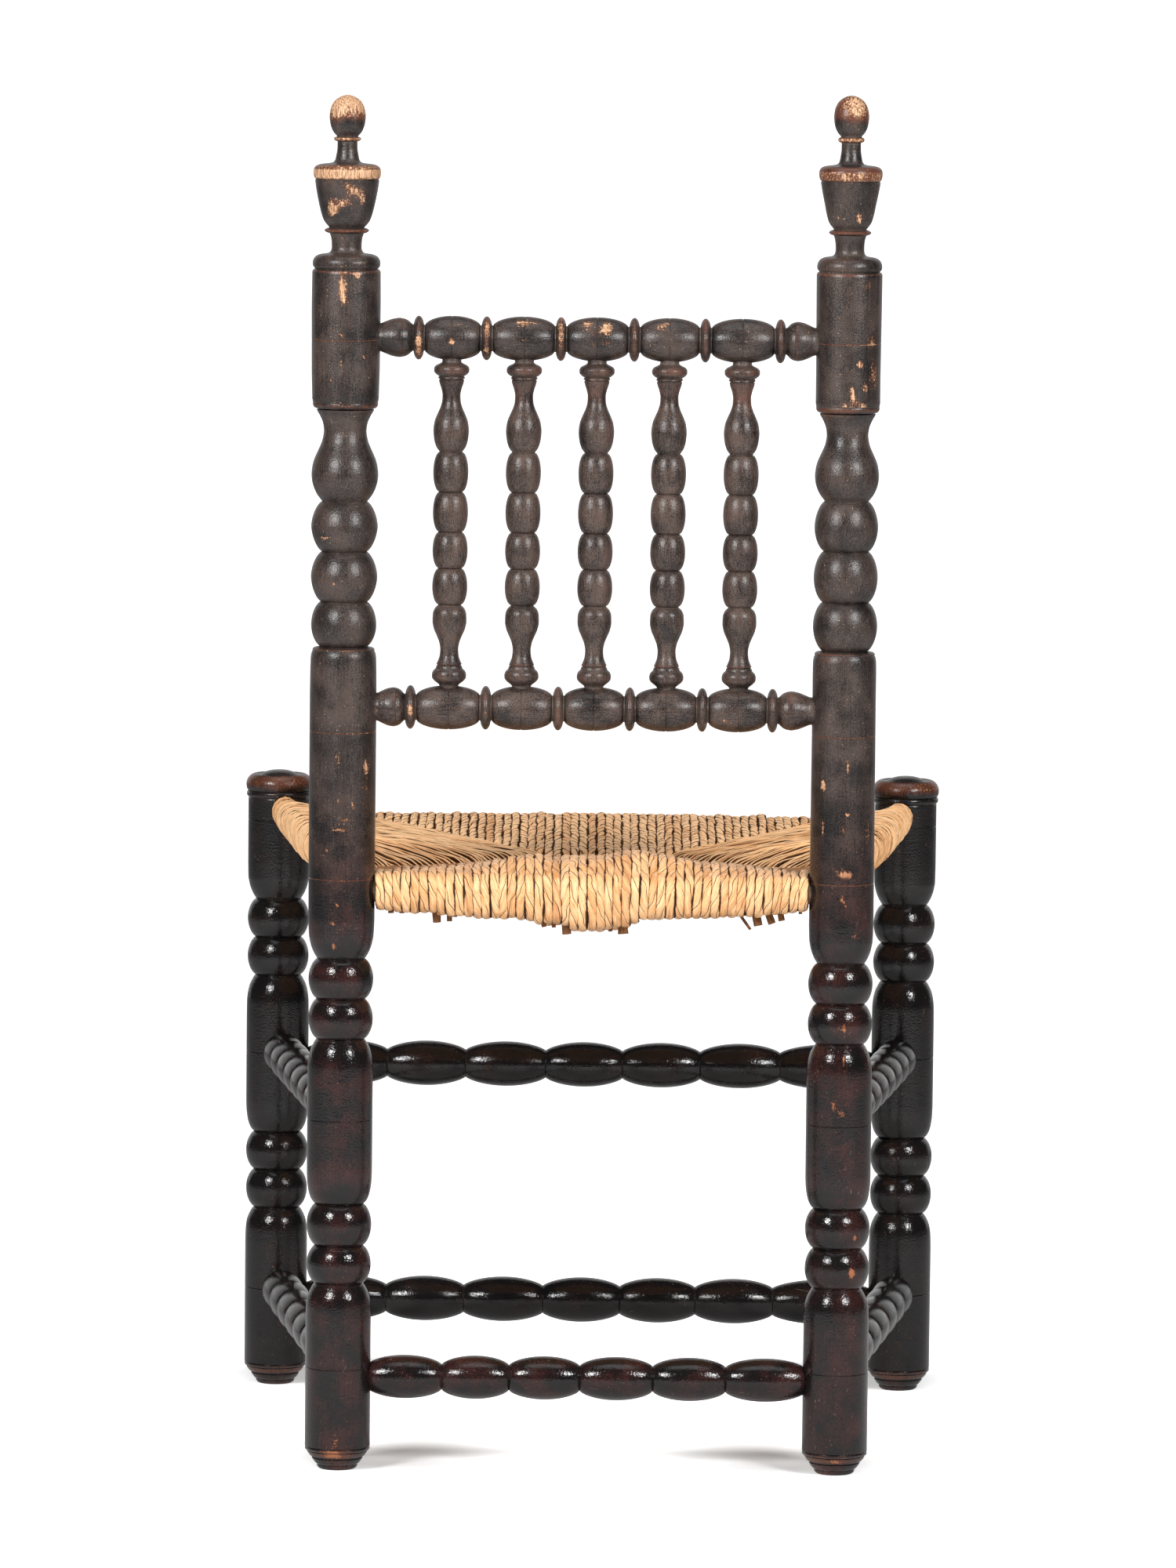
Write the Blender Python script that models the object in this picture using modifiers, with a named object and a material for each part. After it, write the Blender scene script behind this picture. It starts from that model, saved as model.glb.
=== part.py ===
"""Rush-seat side chair with ball, vase and sausage turnings.

Metres, +Z up. The origin is on the floor under the middle of the chair, the
front faces -Y. Every turned member is one profile spun round its own axis and
seats in blind mortises bored in the member that carries it. The rush seat is
one solid wound round the four seat rails.
"""
import math

import bmesh
import bpy
from mathutils import Vector

# Frame plan: distances between post axes
REAR_POST_SPACING = 0.3825
FRONT_POST_SPACING = 0.505
POST_DEPTH_SPACING = 0.410

# Posts, section lengths from the floor up
POST_RADIUS = 0.0251
FOOT_HEIGHT = 0.0165
BASE_BLOCK_LENGTH = 0.1275
BEAD_PAIR_LENGTH = 0.0615
MIDDLE_BLOCK_LENGTH = 0.1275
LONG_BLOCK_LENGTH = 0.2410
BEAD_TRIPLE_LENGTH = 0.1120
VASE_LENGTH = 0.0690
TOP_BLOCK_LENGTH = 0.1075
FINIAL_HEIGHT = 0.1325
FRONT_BLOCK_LENGTH = 0.0835
FRONT_CAP_HEIGHT = 0.0210
FRONT_CAP_RADIUS = 0.0258
POST_GROOVE_RADIUS = 0.0181
POST_BEAD_RADIUS = 0.0247
BLOCK_END_RADIUS = 0.0195
BLOCK_TAPER_LENGTH = 0.024

# Heights of the rails, measured from the start of the block that holds them
LOW_STRETCHER_RISE = 0.0650
HIGH_STRETCHER_RISE = 0.0680
SEAT_RAIL_RISE = 0.0725
BACK_RAIL_DROP = 0.0470
CREST_RAIL_RISE = 0.0540
STRETCHER_STAGGER = 0.0115
SEAT_RAIL_STAGGER = 0.018

# Joints
FIT_GAP = 0.0003
TENON_DEPTH = 0.014
CUTTER_OVERRUN = 0.010
MERGE_DISTANCE = 0.00002

# Back: two turned rails and five spindles
BACK_RAIL_RADIUS = 0.0167
BACK_RAIL_RING_RADIUS = 0.0165
BACK_RAIL_NECK_RADIUS = 0.0100
BACK_RAIL_TENON_RADIUS = 0.0104
BACK_RAIL_RING_WIDTH = 0.0104
SPINDLE_COUNT = 5
SPINDLE_PITCH = 0.0553
SPINDLE_RADIUS = 0.0140
SPINDLE_TENON_RADIUS = 0.0062
SPINDLE_TENON_DEPTH = 0.011

# Stretchers
STRETCHER_NECK_LENGTH = 0.0045
FRONT_STRETCHER_RADIUS = 0.0178
FRONT_STRETCHER_NECK_RADIUS = 0.0112
FRONT_STRETCHER_TENON_RADIUS = 0.0105
FRONT_STRETCHER_BEADS = 7
REAR_STRETCHER_RADIUS = 0.0162
REAR_STRETCHER_NECK_RADIUS = 0.0087
REAR_STRETCHER_BEADS = 6
SIDE_STRETCHER_RADIUS = 0.0165
SIDE_STRETCHER_NECK_RADIUS = 0.0105
HIGH_SIDE_STRETCHER_BEADS = 8
LOW_SIDE_STRETCHER_BEADS = 7
STRETCHER_TENON_RADIUS = 0.0085

# Seat
SEAT_RAIL_RADIUS = 0.0085
SEAT_WRAP = 0.0042
SEAT_CENTRE_THICKNESS = 0.030
SEAT_SEAM_LENGTH = 0.092
SEAT_SEAM_WIDTH = 0.010
SEAT_DISH = 0.018
SEAT_TOP_SWELL = 0.0105
SEAT_UNDER_SWELL = 0.0190

# Facets
POST_FACETS = 10
RAIL_FACETS = 8
SPINDLE_FACETS = 8
BORE_FACETS = 10
SEAT_ROLL_FACETS = 5

# A bead between two grooves: places along it, and how full its arc is
BEAD_STATION_SHARES = (-1.0, -0.62, 0.0, 0.62)
SMALL_BEAD_STATION_SHARES = (-1.0, -0.5, 0.5)
BEAD_FULLNESS_SHARE = 0.8
# A block's rounded end: share of the taper length, share of the drop in radius
BLOCK_END_SHARES = ((0.0, 1.0), (0.14, 0.68), (0.34, 0.34), (0.62, 0.09), (1.0, 0.0))
# Foot: share of the foot's height above the floor, share of the post's radius
FOOT_SHARES = ((0.88, 0.94), (0.70, 0.83), (0.36, 0.70), (0.0, 0.57))
# Vase under the crest block, top to bottom: share of its length, share of the post's radius
VASE_SHARES = (
    (0.0, 0.777), (0.016, 0.869), (0.072, 0.769), (0.143, 0.677), (0.246, 0.641), (0.355, 0.693),
    (0.457, 0.813), (0.558, 0.928), (0.717, 0.984), (0.848, 0.928), (0.928, 0.845),
)
# Lip of the crest block above the vase: share of the block's length, share of the post's radius
BLOCK_LIP_SHARES = ((0.03, 1.008), (0.968, 0.996), (0.992, 0.932))
# Finial, top to bottom: share of its height, share of the post's radius
FINIAL_SHARES = (
    (0.0, 0.0), (0.015, 0.239), (0.045, 0.430), (0.079, 0.506), (0.117, 0.538), (0.158, 0.514),
    (0.208, 0.434), (0.239, 0.303), (0.249, 0.371), (0.271, 0.371), (0.281, 0.283), (0.351, 0.315),
    (0.392, 0.438), (0.399, 0.749), (0.419, 0.956), (0.460, 0.984), (0.487, 0.932), (0.532, 0.896),
    (0.615, 0.817), (0.683, 0.737), (0.725, 0.645), (0.758, 0.498), (0.766, 0.618), (0.790, 0.618),
    (0.800, 0.478), (0.849, 0.442), (0.894, 0.458), (0.915, 0.590), (0.924, 0.797), (0.951, 0.988),
    (0.977, 0.996), (0.996, 0.940),
)
# Front post's cap, top to bottom: share of its height, share of the cap's radius
FRONT_CAP_SHARES = (
    (0.0, 0.0), (0.03, 0.30), (0.16, 0.62), (0.36, 0.80), (0.38, 0.93), (0.48, 1.0), (0.86, 1.0),
    (0.95, 0.955), (0.965, 0.90),
)
# Spindle, top to bottom: share of the gap between the rails, share of the spindle's radius
SPINDLE_TOP_SHARES = (
    (0.010, 0.450), (0.014, 0.850), (0.026, 0.935), (0.039, 0.860), (0.048, 0.600), (0.072, 0.593),
    (0.108, 0.536), (0.144, 0.621), (0.173, 0.829), (0.216, 1.0), (0.245, 0.914), (0.274, 0.721),
)
SPINDLE_BEAD_SHARES = (0.281, 0.399, 0.517, 0.630, 0.743)
SPINDLE_GROOVE_SHARE = 0.64
SPINDLE_BEAD_SHARE = 0.95
SPINDLE_FOOT_SHARES = (
    (0.743, 0.66), (0.766, 0.860), (0.793, 0.921), (0.837, 0.786), (0.865, 0.571), (0.887, 0.514),
    (0.909, 0.571), (0.928, 0.664), (0.934, 0.610), (0.944, 0.850), (0.966, 0.921), (0.988, 0.830),
    (0.993, 0.450),
)
# Half vase at each end of a back rail: share of its length, share of the rail's radius
BACK_RAIL_END_SHARES = ((0.0, 0.623), (0.28, 0.796), (0.58, 0.874), (0.82, 0.802))
# Seat: places along a rail between its posts, share of the full swell above and below there
SEAT_STATION_SHARES = (0.0, 0.07, 0.18, 0.32, 0.44, 0.56, 0.68, 0.82, 0.93, 1.0)
REAR_SWELL_SHARES = (
    (0.0, 0.05), (0.14, 0.16), (0.40, 0.34), (0.70, 0.62), (0.95, 1.0), (0.95, 1.0), (0.70, 0.62),
    (0.40, 0.34), (0.14, 0.16), (0.0, 0.05),
)
FRONT_SWELL_SHARES = (
    (0.10, 0.0), (0.50, 0.08), (0.60, 0.22), (0.66, 0.45), (0.70, 0.90), (0.70, 0.90), (0.66, 0.45),
    (0.60, 0.22), (0.50, 0.08), (0.10, 0.0),
)
SIDE_SWELL_SHARES = (
    (0.0, 0.0), (0.08, 0.08), (0.15, 0.20), (0.20, 0.35), (0.22, 0.50), (0.22, 0.50), (0.20, 0.35),
    (0.15, 0.20), (0.08, 0.08), (0.0, 0.0),
)
# Seat: way in from the rail to the middle seam, share of the swell there
SEAT_INWARD_SHARES = ((0.08, 0.62), (0.17, 1.0), (0.33, 0.95), (0.56, 0.55), (0.80, 0.18), (1.0, 0.0))

ORIGIN_SHIFT = (FRONT_CAP_RADIUS - POST_RADIUS) / 2
REAR_Y = POST_DEPTH_SPACING / 2 + ORIGIN_SHIFT
FRONT_Y = -POST_DEPTH_SPACING / 2 + ORIGIN_SHIFT
BASE_BLOCK_TOP = FOOT_HEIGHT + BASE_BLOCK_LENGTH
MIDDLE_BLOCK_START = BASE_BLOCK_TOP + BEAD_PAIR_LENGTH
MIDDLE_BLOCK_TOP = MIDDLE_BLOCK_START + MIDDLE_BLOCK_LENGTH
SEAT_BLOCK_START = MIDDLE_BLOCK_TOP + BEAD_PAIR_LENGTH
LONG_BLOCK_TOP = SEAT_BLOCK_START + LONG_BLOCK_LENGTH
VASE_START = LONG_BLOCK_TOP + BEAD_TRIPLE_LENGTH
TOP_BLOCK_START = VASE_START + VASE_LENGTH
TOP_BLOCK_TOP = TOP_BLOCK_START + TOP_BLOCK_LENGTH
FRONT_BLOCK_TOP = SEAT_BLOCK_START + FRONT_BLOCK_LENGTH

SIDE_LOW_HEIGHT = FOOT_HEIGHT + LOW_STRETCHER_RISE
SIDE_HIGH_HEIGHT = MIDDLE_BLOCK_START + HIGH_STRETCHER_RISE
SIDE_SEAT_HEIGHT = SEAT_BLOCK_START + SEAT_RAIL_RISE
CROSS_LOW_HEIGHT = SIDE_LOW_HEIGHT - STRETCHER_STAGGER
CROSS_HIGH_HEIGHT = SIDE_HIGH_HEIGHT - STRETCHER_STAGGER
CROSS_SEAT_HEIGHT = SIDE_SEAT_HEIGHT - SEAT_RAIL_STAGGER
BACK_RAIL_HEIGHT = LONG_BLOCK_TOP - BACK_RAIL_DROP
CREST_RAIL_HEIGHT = TOP_BLOCK_START + CREST_RAIL_RISE

POST_PLACES = {
    "rear_post_left": (-REAR_POST_SPACING / 2, REAR_Y),
    "rear_post_right": (REAR_POST_SPACING / 2, REAR_Y),
    "front_post_left": (-FRONT_POST_SPACING / 2, FRONT_Y),
    "front_post_right": (FRONT_POST_SPACING / 2, FRONT_Y),
}


def make_collection(name):
    collection = bpy.data.collections.new(name)
    bpy.context.scene.collection.children.link(collection)
    return collection


def make_material(name, colour, roughness):
    material = bpy.data.materials.new(name)
    material.use_nodes = True
    shader = material.node_tree.nodes["Principled BSDF"]
    shader.inputs["Base Color"].default_value = (*colour, 1)
    shader.inputs["Roughness"].default_value = roughness
    shader.inputs["Metallic"].default_value = 0
    material.diffuse_color = (*colour, 1)
    return material


def turned(name, profile, facets, material):
    """One member spun round Z from (height, radius) points that run top to bottom."""
    vertices = [(radius, 0, height) for height, radius in profile]
    edges = [(index, index + 1) for index in range(len(vertices) - 1)]
    mesh = bpy.data.meshes.new(name)
    mesh.from_pydata(vertices, edges, [])
    mesh.materials.append(material)
    piece = bpy.data.objects.new(name, mesh)
    chair.objects.link(piece)
    spin = piece.modifiers.new("Turning", "SCREW")
    spin.steps = facets
    spin.render_steps = facets
    spin.use_merge_vertices = True
    spin.merge_threshold = MERGE_DISTANCE
    spin.use_smooth_shade = True
    return piece


def cutter(name, start, end, radius):
    """A round cutter whose flats clear the radius, from one point to another."""
    way = end - start
    bpy.ops.mesh.primitive_cylinder_add(
        vertices=BORE_FACETS, radius=radius / math.cos(math.pi / BORE_FACETS), depth=way.length)
    tool = bpy.context.object
    tool.name = name
    tool.location = (start + end) / 2
    tool.rotation_euler = way.to_track_quat("Z", "Y").to_euler()
    tool.hide_render = True
    tool.display_type = "WIRE"
    for collection in list(tool.users_collection):
        collection.objects.unlink(tool)
    cutters.objects.link(tool)
    return tool


def cut(piece, tool):
    bore = piece.modifiers.new(tool.name, "BOOLEAN")
    bore.operation = "DIFFERENCE"
    bore.solver = "EXACT"
    bore.object = tool


def beads(top, bottom, count, groove, crest, stations=BEAD_STATION_SHARES):
    """Points down a run of beads between grooves, without the last groove."""
    pitch = (top - bottom) / count
    points = []
    for index in range(count):
        middle = top - pitch * (index + 0.5)
        for share in stations:
            swell = (1 - share * share) ** BEAD_FULLNESS_SHARE
            points.append((middle - share * pitch / 2, groove + (crest - groove) * swell))
    return points


def block(top, bottom, round_top=True, round_bottom=True):
    """Points down a plain block whose rounded ends drop to the grooves beside it."""
    drop = POST_RADIUS - BLOCK_END_RADIUS
    points = []
    if round_top:
        points += [(top - reach * BLOCK_TAPER_LENGTH, POST_RADIUS - fall * drop)
                   for reach, fall in BLOCK_END_SHARES]
    if round_bottom:
        points += [(bottom + reach * BLOCK_TAPER_LENGTH, POST_RADIUS - fall * drop)
                   for reach, fall in reversed(BLOCK_END_SHARES)]
    return points


def lower_post():
    """The turnings that all four posts share, from the seat block's foot down to the floor."""
    points = [(SEAT_BLOCK_START, POST_GROOVE_RADIUS)]
    points += beads(SEAT_BLOCK_START, MIDDLE_BLOCK_TOP, 2, POST_GROOVE_RADIUS, POST_BEAD_RADIUS)[1:]
    points += block(MIDDLE_BLOCK_TOP, MIDDLE_BLOCK_START)
    points += beads(MIDDLE_BLOCK_START, BASE_BLOCK_TOP, 2, POST_GROOVE_RADIUS, POST_BEAD_RADIUS)
    points += block(BASE_BLOCK_TOP, FOOT_HEIGHT, round_bottom=False)
    points.append((FOOT_HEIGHT, POST_RADIUS))
    points += [(height * FOOT_HEIGHT, radius * POST_RADIUS) for height, radius in FOOT_SHARES]
    points.append((0, 0))
    return points


def rear_post_profile():
    points = [(TOP_BLOCK_TOP + FINIAL_HEIGHT * (1 - height), radius * POST_RADIUS)
              for height, radius in FINIAL_SHARES]
    points += [(TOP_BLOCK_TOP - height * TOP_BLOCK_LENGTH, radius * POST_RADIUS)
               for height, radius in BLOCK_LIP_SHARES]
    points += [(TOP_BLOCK_START - height * VASE_LENGTH, radius * POST_RADIUS)
               for height, radius in VASE_SHARES]
    points += beads(VASE_START, LONG_BLOCK_TOP, 3, POST_GROOVE_RADIUS, POST_BEAD_RADIUS)
    points += block(LONG_BLOCK_TOP, SEAT_BLOCK_START)
    return points + lower_post()


def front_post_profile():
    top = FRONT_BLOCK_TOP + FRONT_CAP_HEIGHT
    points = [(top - height * FRONT_CAP_HEIGHT, radius * FRONT_CAP_RADIUS)
              for height, radius in FRONT_CAP_SHARES]
    points.append((FRONT_BLOCK_TOP, POST_RADIUS))
    points += block(FRONT_BLOCK_TOP, SEAT_BLOCK_START, round_top=False)
    return points + lower_post()


def with_tenons(half_body, half_total, tenon, body):
    """A body's points between two round tenons of one radius."""
    points = [(half_total, 0), (half_total, tenon), (half_body, tenon)]
    points += body
    return points + [(-half_body, tenon), (-half_total, tenon), (-half_total, 0)]


def stretcher_profile(half_body, half_total, count, crest, neck, tenon):
    run = half_body - STRETCHER_NECK_LENGTH
    body = [(half_body, neck)] + beads(run, -run, count, neck, crest) + [(-run, neck), (-half_body, neck)]
    return with_tenons(half_body, half_total, tenon, body)


def back_rail_profile(half_body, half_total):
    """Sausages over the spindles, a ring between each two, a half vase at each end."""
    half_ring = BACK_RAIL_RING_WIDTH / 2
    outer_ring = SPINDLE_COUNT * SPINDLE_PITCH / 2
    vase = half_body - outer_ring - half_ring
    upper_end = [(half_body - share * vase, radius * BACK_RAIL_RADIUS)
                 for share, radius in BACK_RAIL_END_SHARES]
    body = list(upper_end)
    for index in range(SPINDLE_COUNT + 1):
        middle = outer_ring - index * SPINDLE_PITCH
        body.append((middle + half_ring, BACK_RAIL_NECK_RADIUS))
        body.append((middle + half_ring / 2, BACK_RAIL_RING_RADIUS))
        body.append((middle - half_ring / 2, BACK_RAIL_RING_RADIUS))
        if index < SPINDLE_COUNT:
            body += beads(middle - half_ring, middle - SPINDLE_PITCH + half_ring, 1,
                          BACK_RAIL_NECK_RADIUS, BACK_RAIL_RADIUS)
    body.append((-outer_ring - half_ring, BACK_RAIL_NECK_RADIUS))
    body += [(-height, radius) for height, radius in reversed(upper_end)]
    return with_tenons(half_body, half_total, BACK_RAIL_TENON_RADIUS, body)


def spindle_profile(half_body, half_total):
    length = 2 * half_body
    body = [(half_body - share * length, radius * SPINDLE_RADIUS) for share, radius in SPINDLE_TOP_SHARES]
    for upper, lower in zip(SPINDLE_BEAD_SHARES, SPINDLE_BEAD_SHARES[1:]):
        body += beads(half_body - upper * length, half_body - lower * length, 1,
                      SPINDLE_GROOVE_SHARE * SPINDLE_RADIUS, SPINDLE_BEAD_SHARE * SPINDLE_RADIUS,
                      SMALL_BEAD_STATION_SHARES)
    body += [(half_body - share * length, radius * SPINDLE_RADIUS) for share, radius in SPINDLE_FOOT_SHARES]
    points = [(half_total, 0), (half_total, SPINDLE_TENON_RADIUS)]
    return points + body + [(-half_total, SPINDLE_TENON_RADIUS), (-half_total, 0)]


def rod_profile(half_total, radius):
    return [(half_total, 0), (half_total, radius), (-half_total, radius), (-half_total, 0)]


def seat_member(name, profile, start, end, facets, material, carriers, tenon, carrier_radius, depth):
    """Place a member between two carriers' axes and bore its two mortises."""
    piece = turned(name, profile, facets, material)
    way = (start - end).normalized()
    piece.location = (start + end) / 2
    piece.rotation_euler = way.to_track_quat("Z", "Y").to_euler()
    inner = carrier_radius - depth - FIT_GAP
    outer = carrier_radius + CUTTER_OVERRUN
    for carrier, axis_point, inward in ((carriers[0], start, -way), (carriers[1], end, way)):
        tool = cutter(name + "_bore", axis_point + inward * inner, axis_point + inward * outer,
                      tenon + FIT_GAP)
        cut(carrier, tool)
    return piece


def half_lengths(start, end, carrier_radius, depth):
    half_span = (start - end).length / 2
    return half_span - carrier_radius - FIT_GAP, half_span - carrier_radius + depth


def post_point(name, height):
    x, y = POST_PLACES[name]
    return Vector((x, y, height))


def build_posts(material):
    posts = {}
    for name, (x, y) in POST_PLACES.items():
        profile = rear_post_profile() if name.startswith("rear") else front_post_profile()
        posts[name] = turned(name, profile, POST_FACETS, material)
        posts[name].location = (x, y, 0)
    return posts


def build_rail(name, height, ends, posts, shape, tenon, material):
    """A rail, stretcher or seat rail between two posts."""
    start, end = (post_point(post, height) for post in ends)
    half_body, half_total = half_lengths(start, end, POST_RADIUS, TENON_DEPTH)
    return seat_member(name, shape(half_body, half_total), start, end, RAIL_FACETS, material,
                       [posts[post] for post in ends], tenon, POST_RADIUS, TENON_DEPTH)


def build_back(posts, material):
    ends = ("rear_post_right", "rear_post_left")
    crest = build_rail("crest_rail", CREST_RAIL_HEIGHT, ends, posts, back_rail_profile,
                       BACK_RAIL_TENON_RADIUS, material)
    lower = build_rail("lower_back_rail", BACK_RAIL_HEIGHT, ends, posts, back_rail_profile,
                       BACK_RAIL_TENON_RADIUS, material)
    for index in range(SPINDLE_COUNT):
        x = (index - (SPINDLE_COUNT - 1) / 2) * SPINDLE_PITCH
        top = Vector((x, REAR_Y, CREST_RAIL_HEIGHT))
        bottom = Vector((x, REAR_Y, BACK_RAIL_HEIGHT))
        half_body, half_total = half_lengths(top, bottom, BACK_RAIL_RADIUS, SPINDLE_TENON_DEPTH)
        seat_member("back_spindle_%d" % (index + 1), spindle_profile(half_body, half_total), top, bottom,
                    SPINDLE_FACETS, material, [crest, lower], SPINDLE_TENON_RADIUS,
                    BACK_RAIL_RADIUS, SPINDLE_TENON_DEPTH)


def build_stretchers(posts, material):
    def front(half_body, half_total):
        return stretcher_profile(half_body, half_total, FRONT_STRETCHER_BEADS, FRONT_STRETCHER_RADIUS,
                                 FRONT_STRETCHER_NECK_RADIUS, FRONT_STRETCHER_TENON_RADIUS)

    def rear(half_body, half_total):
        return stretcher_profile(half_body, half_total, REAR_STRETCHER_BEADS, REAR_STRETCHER_RADIUS,
                                 REAR_STRETCHER_NECK_RADIUS, STRETCHER_TENON_RADIUS)

    def side(count):
        return lambda half_body, half_total: stretcher_profile(
            half_body, half_total, count, SIDE_STRETCHER_RADIUS, SIDE_STRETCHER_NECK_RADIUS,
            STRETCHER_TENON_RADIUS)

    front_ends = ("front_post_right", "front_post_left")
    build_rail("front_stretcher_upper", CROSS_HIGH_HEIGHT, front_ends, posts, front,
               FRONT_STRETCHER_TENON_RADIUS, material)
    build_rail("front_stretcher_lower", CROSS_LOW_HEIGHT, front_ends, posts, front,
               FRONT_STRETCHER_TENON_RADIUS, material)
    build_rail("rear_stretcher", CROSS_LOW_HEIGHT, ("rear_post_right", "rear_post_left"), posts, rear,
               STRETCHER_TENON_RADIUS, material)
    for side_name in ("left", "right"):
        ends = ("rear_post_" + side_name, "front_post_" + side_name)
        build_rail("side_stretcher_upper_" + side_name, SIDE_HIGH_HEIGHT, ends, posts,
                   side(HIGH_SIDE_STRETCHER_BEADS), STRETCHER_TENON_RADIUS, material)
        build_rail("side_stretcher_lower_" + side_name, SIDE_LOW_HEIGHT, ends, posts,
                   side(LOW_SIDE_STRETCHER_BEADS), STRETCHER_TENON_RADIUS, material)


def seat_edges():
    """Each seat rail's name, posts, height and swell along it, counter-clockwise from above."""
    return (
        ("seat_rail_rear", "rear_post_right", "rear_post_left", CROSS_SEAT_HEIGHT, REAR_SWELL_SHARES),
        ("seat_rail_left", "rear_post_left", "front_post_left", SIDE_SEAT_HEIGHT, SIDE_SWELL_SHARES),
        ("seat_rail_front", "front_post_left", "front_post_right", CROSS_SEAT_HEIGHT, FRONT_SWELL_SHARES),
        ("seat_rail_right", "front_post_right", "rear_post_right", SIDE_SEAT_HEIGHT,
         SIDE_SWELL_SHARES[::-1]),
    )


def build_seat_rails(posts, material):
    for name, start, end, height, _ in seat_edges():
        build_rail(name, height, (start, end), posts,
                   lambda half_body, half_total: rod_profile(half_total, SEAT_RAIL_RADIUS),
                   SEAT_RAIL_RADIUS, material)


def seam_point(place):
    """The point of the middle seam that a place on the rails' outline runs in to."""
    half_seam = SEAT_SEAM_LENGTH / 2
    half_width = SEAT_SEAM_WIDTH / 2
    along = place.x / (REAR_POST_SPACING / 2)
    across = place.y / (POST_DEPTH_SPACING / 2)
    return Vector((max(-1, min(1, along)) * half_seam, max(-1, min(1, across)) * half_width, 0))


def seat_section(place, outward, height, swell):
    """One section of the seat: in along the top, round the rail and back in underneath."""
    top_swell, under_swell = swell
    roll = SEAT_RAIL_RADIUS + FIT_GAP + SEAT_WRAP
    middle_height = (CROSS_SEAT_HEIGHT + SIDE_SEAT_HEIGHT) / 2 - SEAT_DISH
    half_centre = SEAT_CENTRE_THICKNESS / 2
    inner = seam_point(place)
    top, under = [], []
    for share, fullness in SEAT_INWARD_SHARES:
        spot = place.lerp(inner, share)
        level = height + (middle_height - height) * share
        half = roll + (half_centre - roll) * share
        top.append(Vector((spot.x, spot.y, level + half + SEAT_TOP_SWELL * top_swell * fullness)))
        under.append(Vector((spot.x, spot.y, level - half - SEAT_UNDER_SWELL * under_swell * fullness)))
    rim = []
    for index in range(SEAT_ROLL_FACETS + 1):
        angle = math.pi * (0.5 - index / SEAT_ROLL_FACETS)
        reach = roll * math.cos(angle)
        rim.append(Vector((place.x + outward.x * reach, place.y + outward.y * reach,
                           height + roll * math.sin(angle))))
    return top[::-1] + rim + under


def seat_sections():
    """Sections all the way round; each corner's section stands on its post's axis."""
    sections = []
    edges = seat_edges()
    for index, (_, start_name, end_name, height, swells) in enumerate(edges):
        start, end = post_point(start_name, 0), post_point(end_name, 0)
        along = (end - start).normalized()
        outward = Vector((-along.y, along.x, 0)) * -1
        before = edges[index - 1]
        way_before = (post_point(before[2], 0) - post_point(before[1], 0)).normalized()
        bisector = (outward + Vector((way_before.y, -way_before.x, 0))).normalized()
        sections.append(seat_section(start, bisector, (height + before[3]) / 2, (0, 0)))
        clear = POST_RADIUS / (end - start).length
        for share, swell in zip(SEAT_STATION_SHARES, swells):
            place = start.lerp(end, clear + share * (1 - 2 * clear))
            sections.append(seat_section(place, outward, height, swell))
    return sections


def build_seat(material):
    shape = bmesh.new()
    rings = [[shape.verts.new(point) for point in section] for section in seat_sections()]
    count = len(rings[0])
    for index, ring in enumerate(rings):
        after = rings[(index + 1) % len(rings)]
        for step in range(count - 1):
            shape.faces.new((ring[step], ring[step + 1], after[step + 1], after[step]))
    shape.faces.new([ring[0] for ring in rings])
    shape.faces.new([ring[-1] for ring in reversed(rings)])
    bmesh.ops.triangulate(shape, faces=shape.faces[:])
    bmesh.ops.recalc_face_normals(shape, faces=shape.faces[:])
    mesh = bpy.data.meshes.new("rush_seat")
    shape.to_mesh(mesh)
    shape.free()
    mesh.materials.append(material)
    mesh.shade_smooth()
    seat = bpy.data.objects.new("rush_seat", mesh)
    chair.objects.link(seat)
    for name in POST_PLACES:
        cut(seat, cutter(name + "_notch", post_point(name, SIDE_SEAT_HEIGHT - POST_DEPTH_SPACING / 4),
                         post_point(name, SIDE_SEAT_HEIGHT + POST_DEPTH_SPACING / 4),
                         FRONT_CAP_RADIUS + FIT_GAP))
    for name, start, end, height, _ in seat_edges():
        cut(seat, cutter(name + "_tunnel", post_point(start, height), post_point(end, height),
                         SEAT_RAIL_RADIUS + FIT_GAP))
    return seat


for old in list(bpy.data.objects):
    bpy.data.objects.remove(old, do_unlink=True)

chair = make_collection("rush_seat_side_chair")
cutters = make_collection("cutters")
paint = make_material("black_paint", (0.022, 0.018, 0.016), 0.35)
rush = make_material("rush", (0.62, 0.42, 0.22), 0.8)

all_posts = build_posts(paint)
build_back(all_posts, paint)
build_stretchers(all_posts, paint)
build_seat_rails(all_posts, paint)
build_seat(rush)
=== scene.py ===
# %% [markdown]
# A turned side chair with a rush seat, seen from behind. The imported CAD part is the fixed
# frame: it gives every member's place. Here each turned member is spun again with the fine
# grooves, rings and wear that the CAD leaves out, and the seat is wound cord by cord.

# %% Tools and the fixed frame
import math

import bpy
import numpy as np
from mathutils import Matrix, Vector


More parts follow.
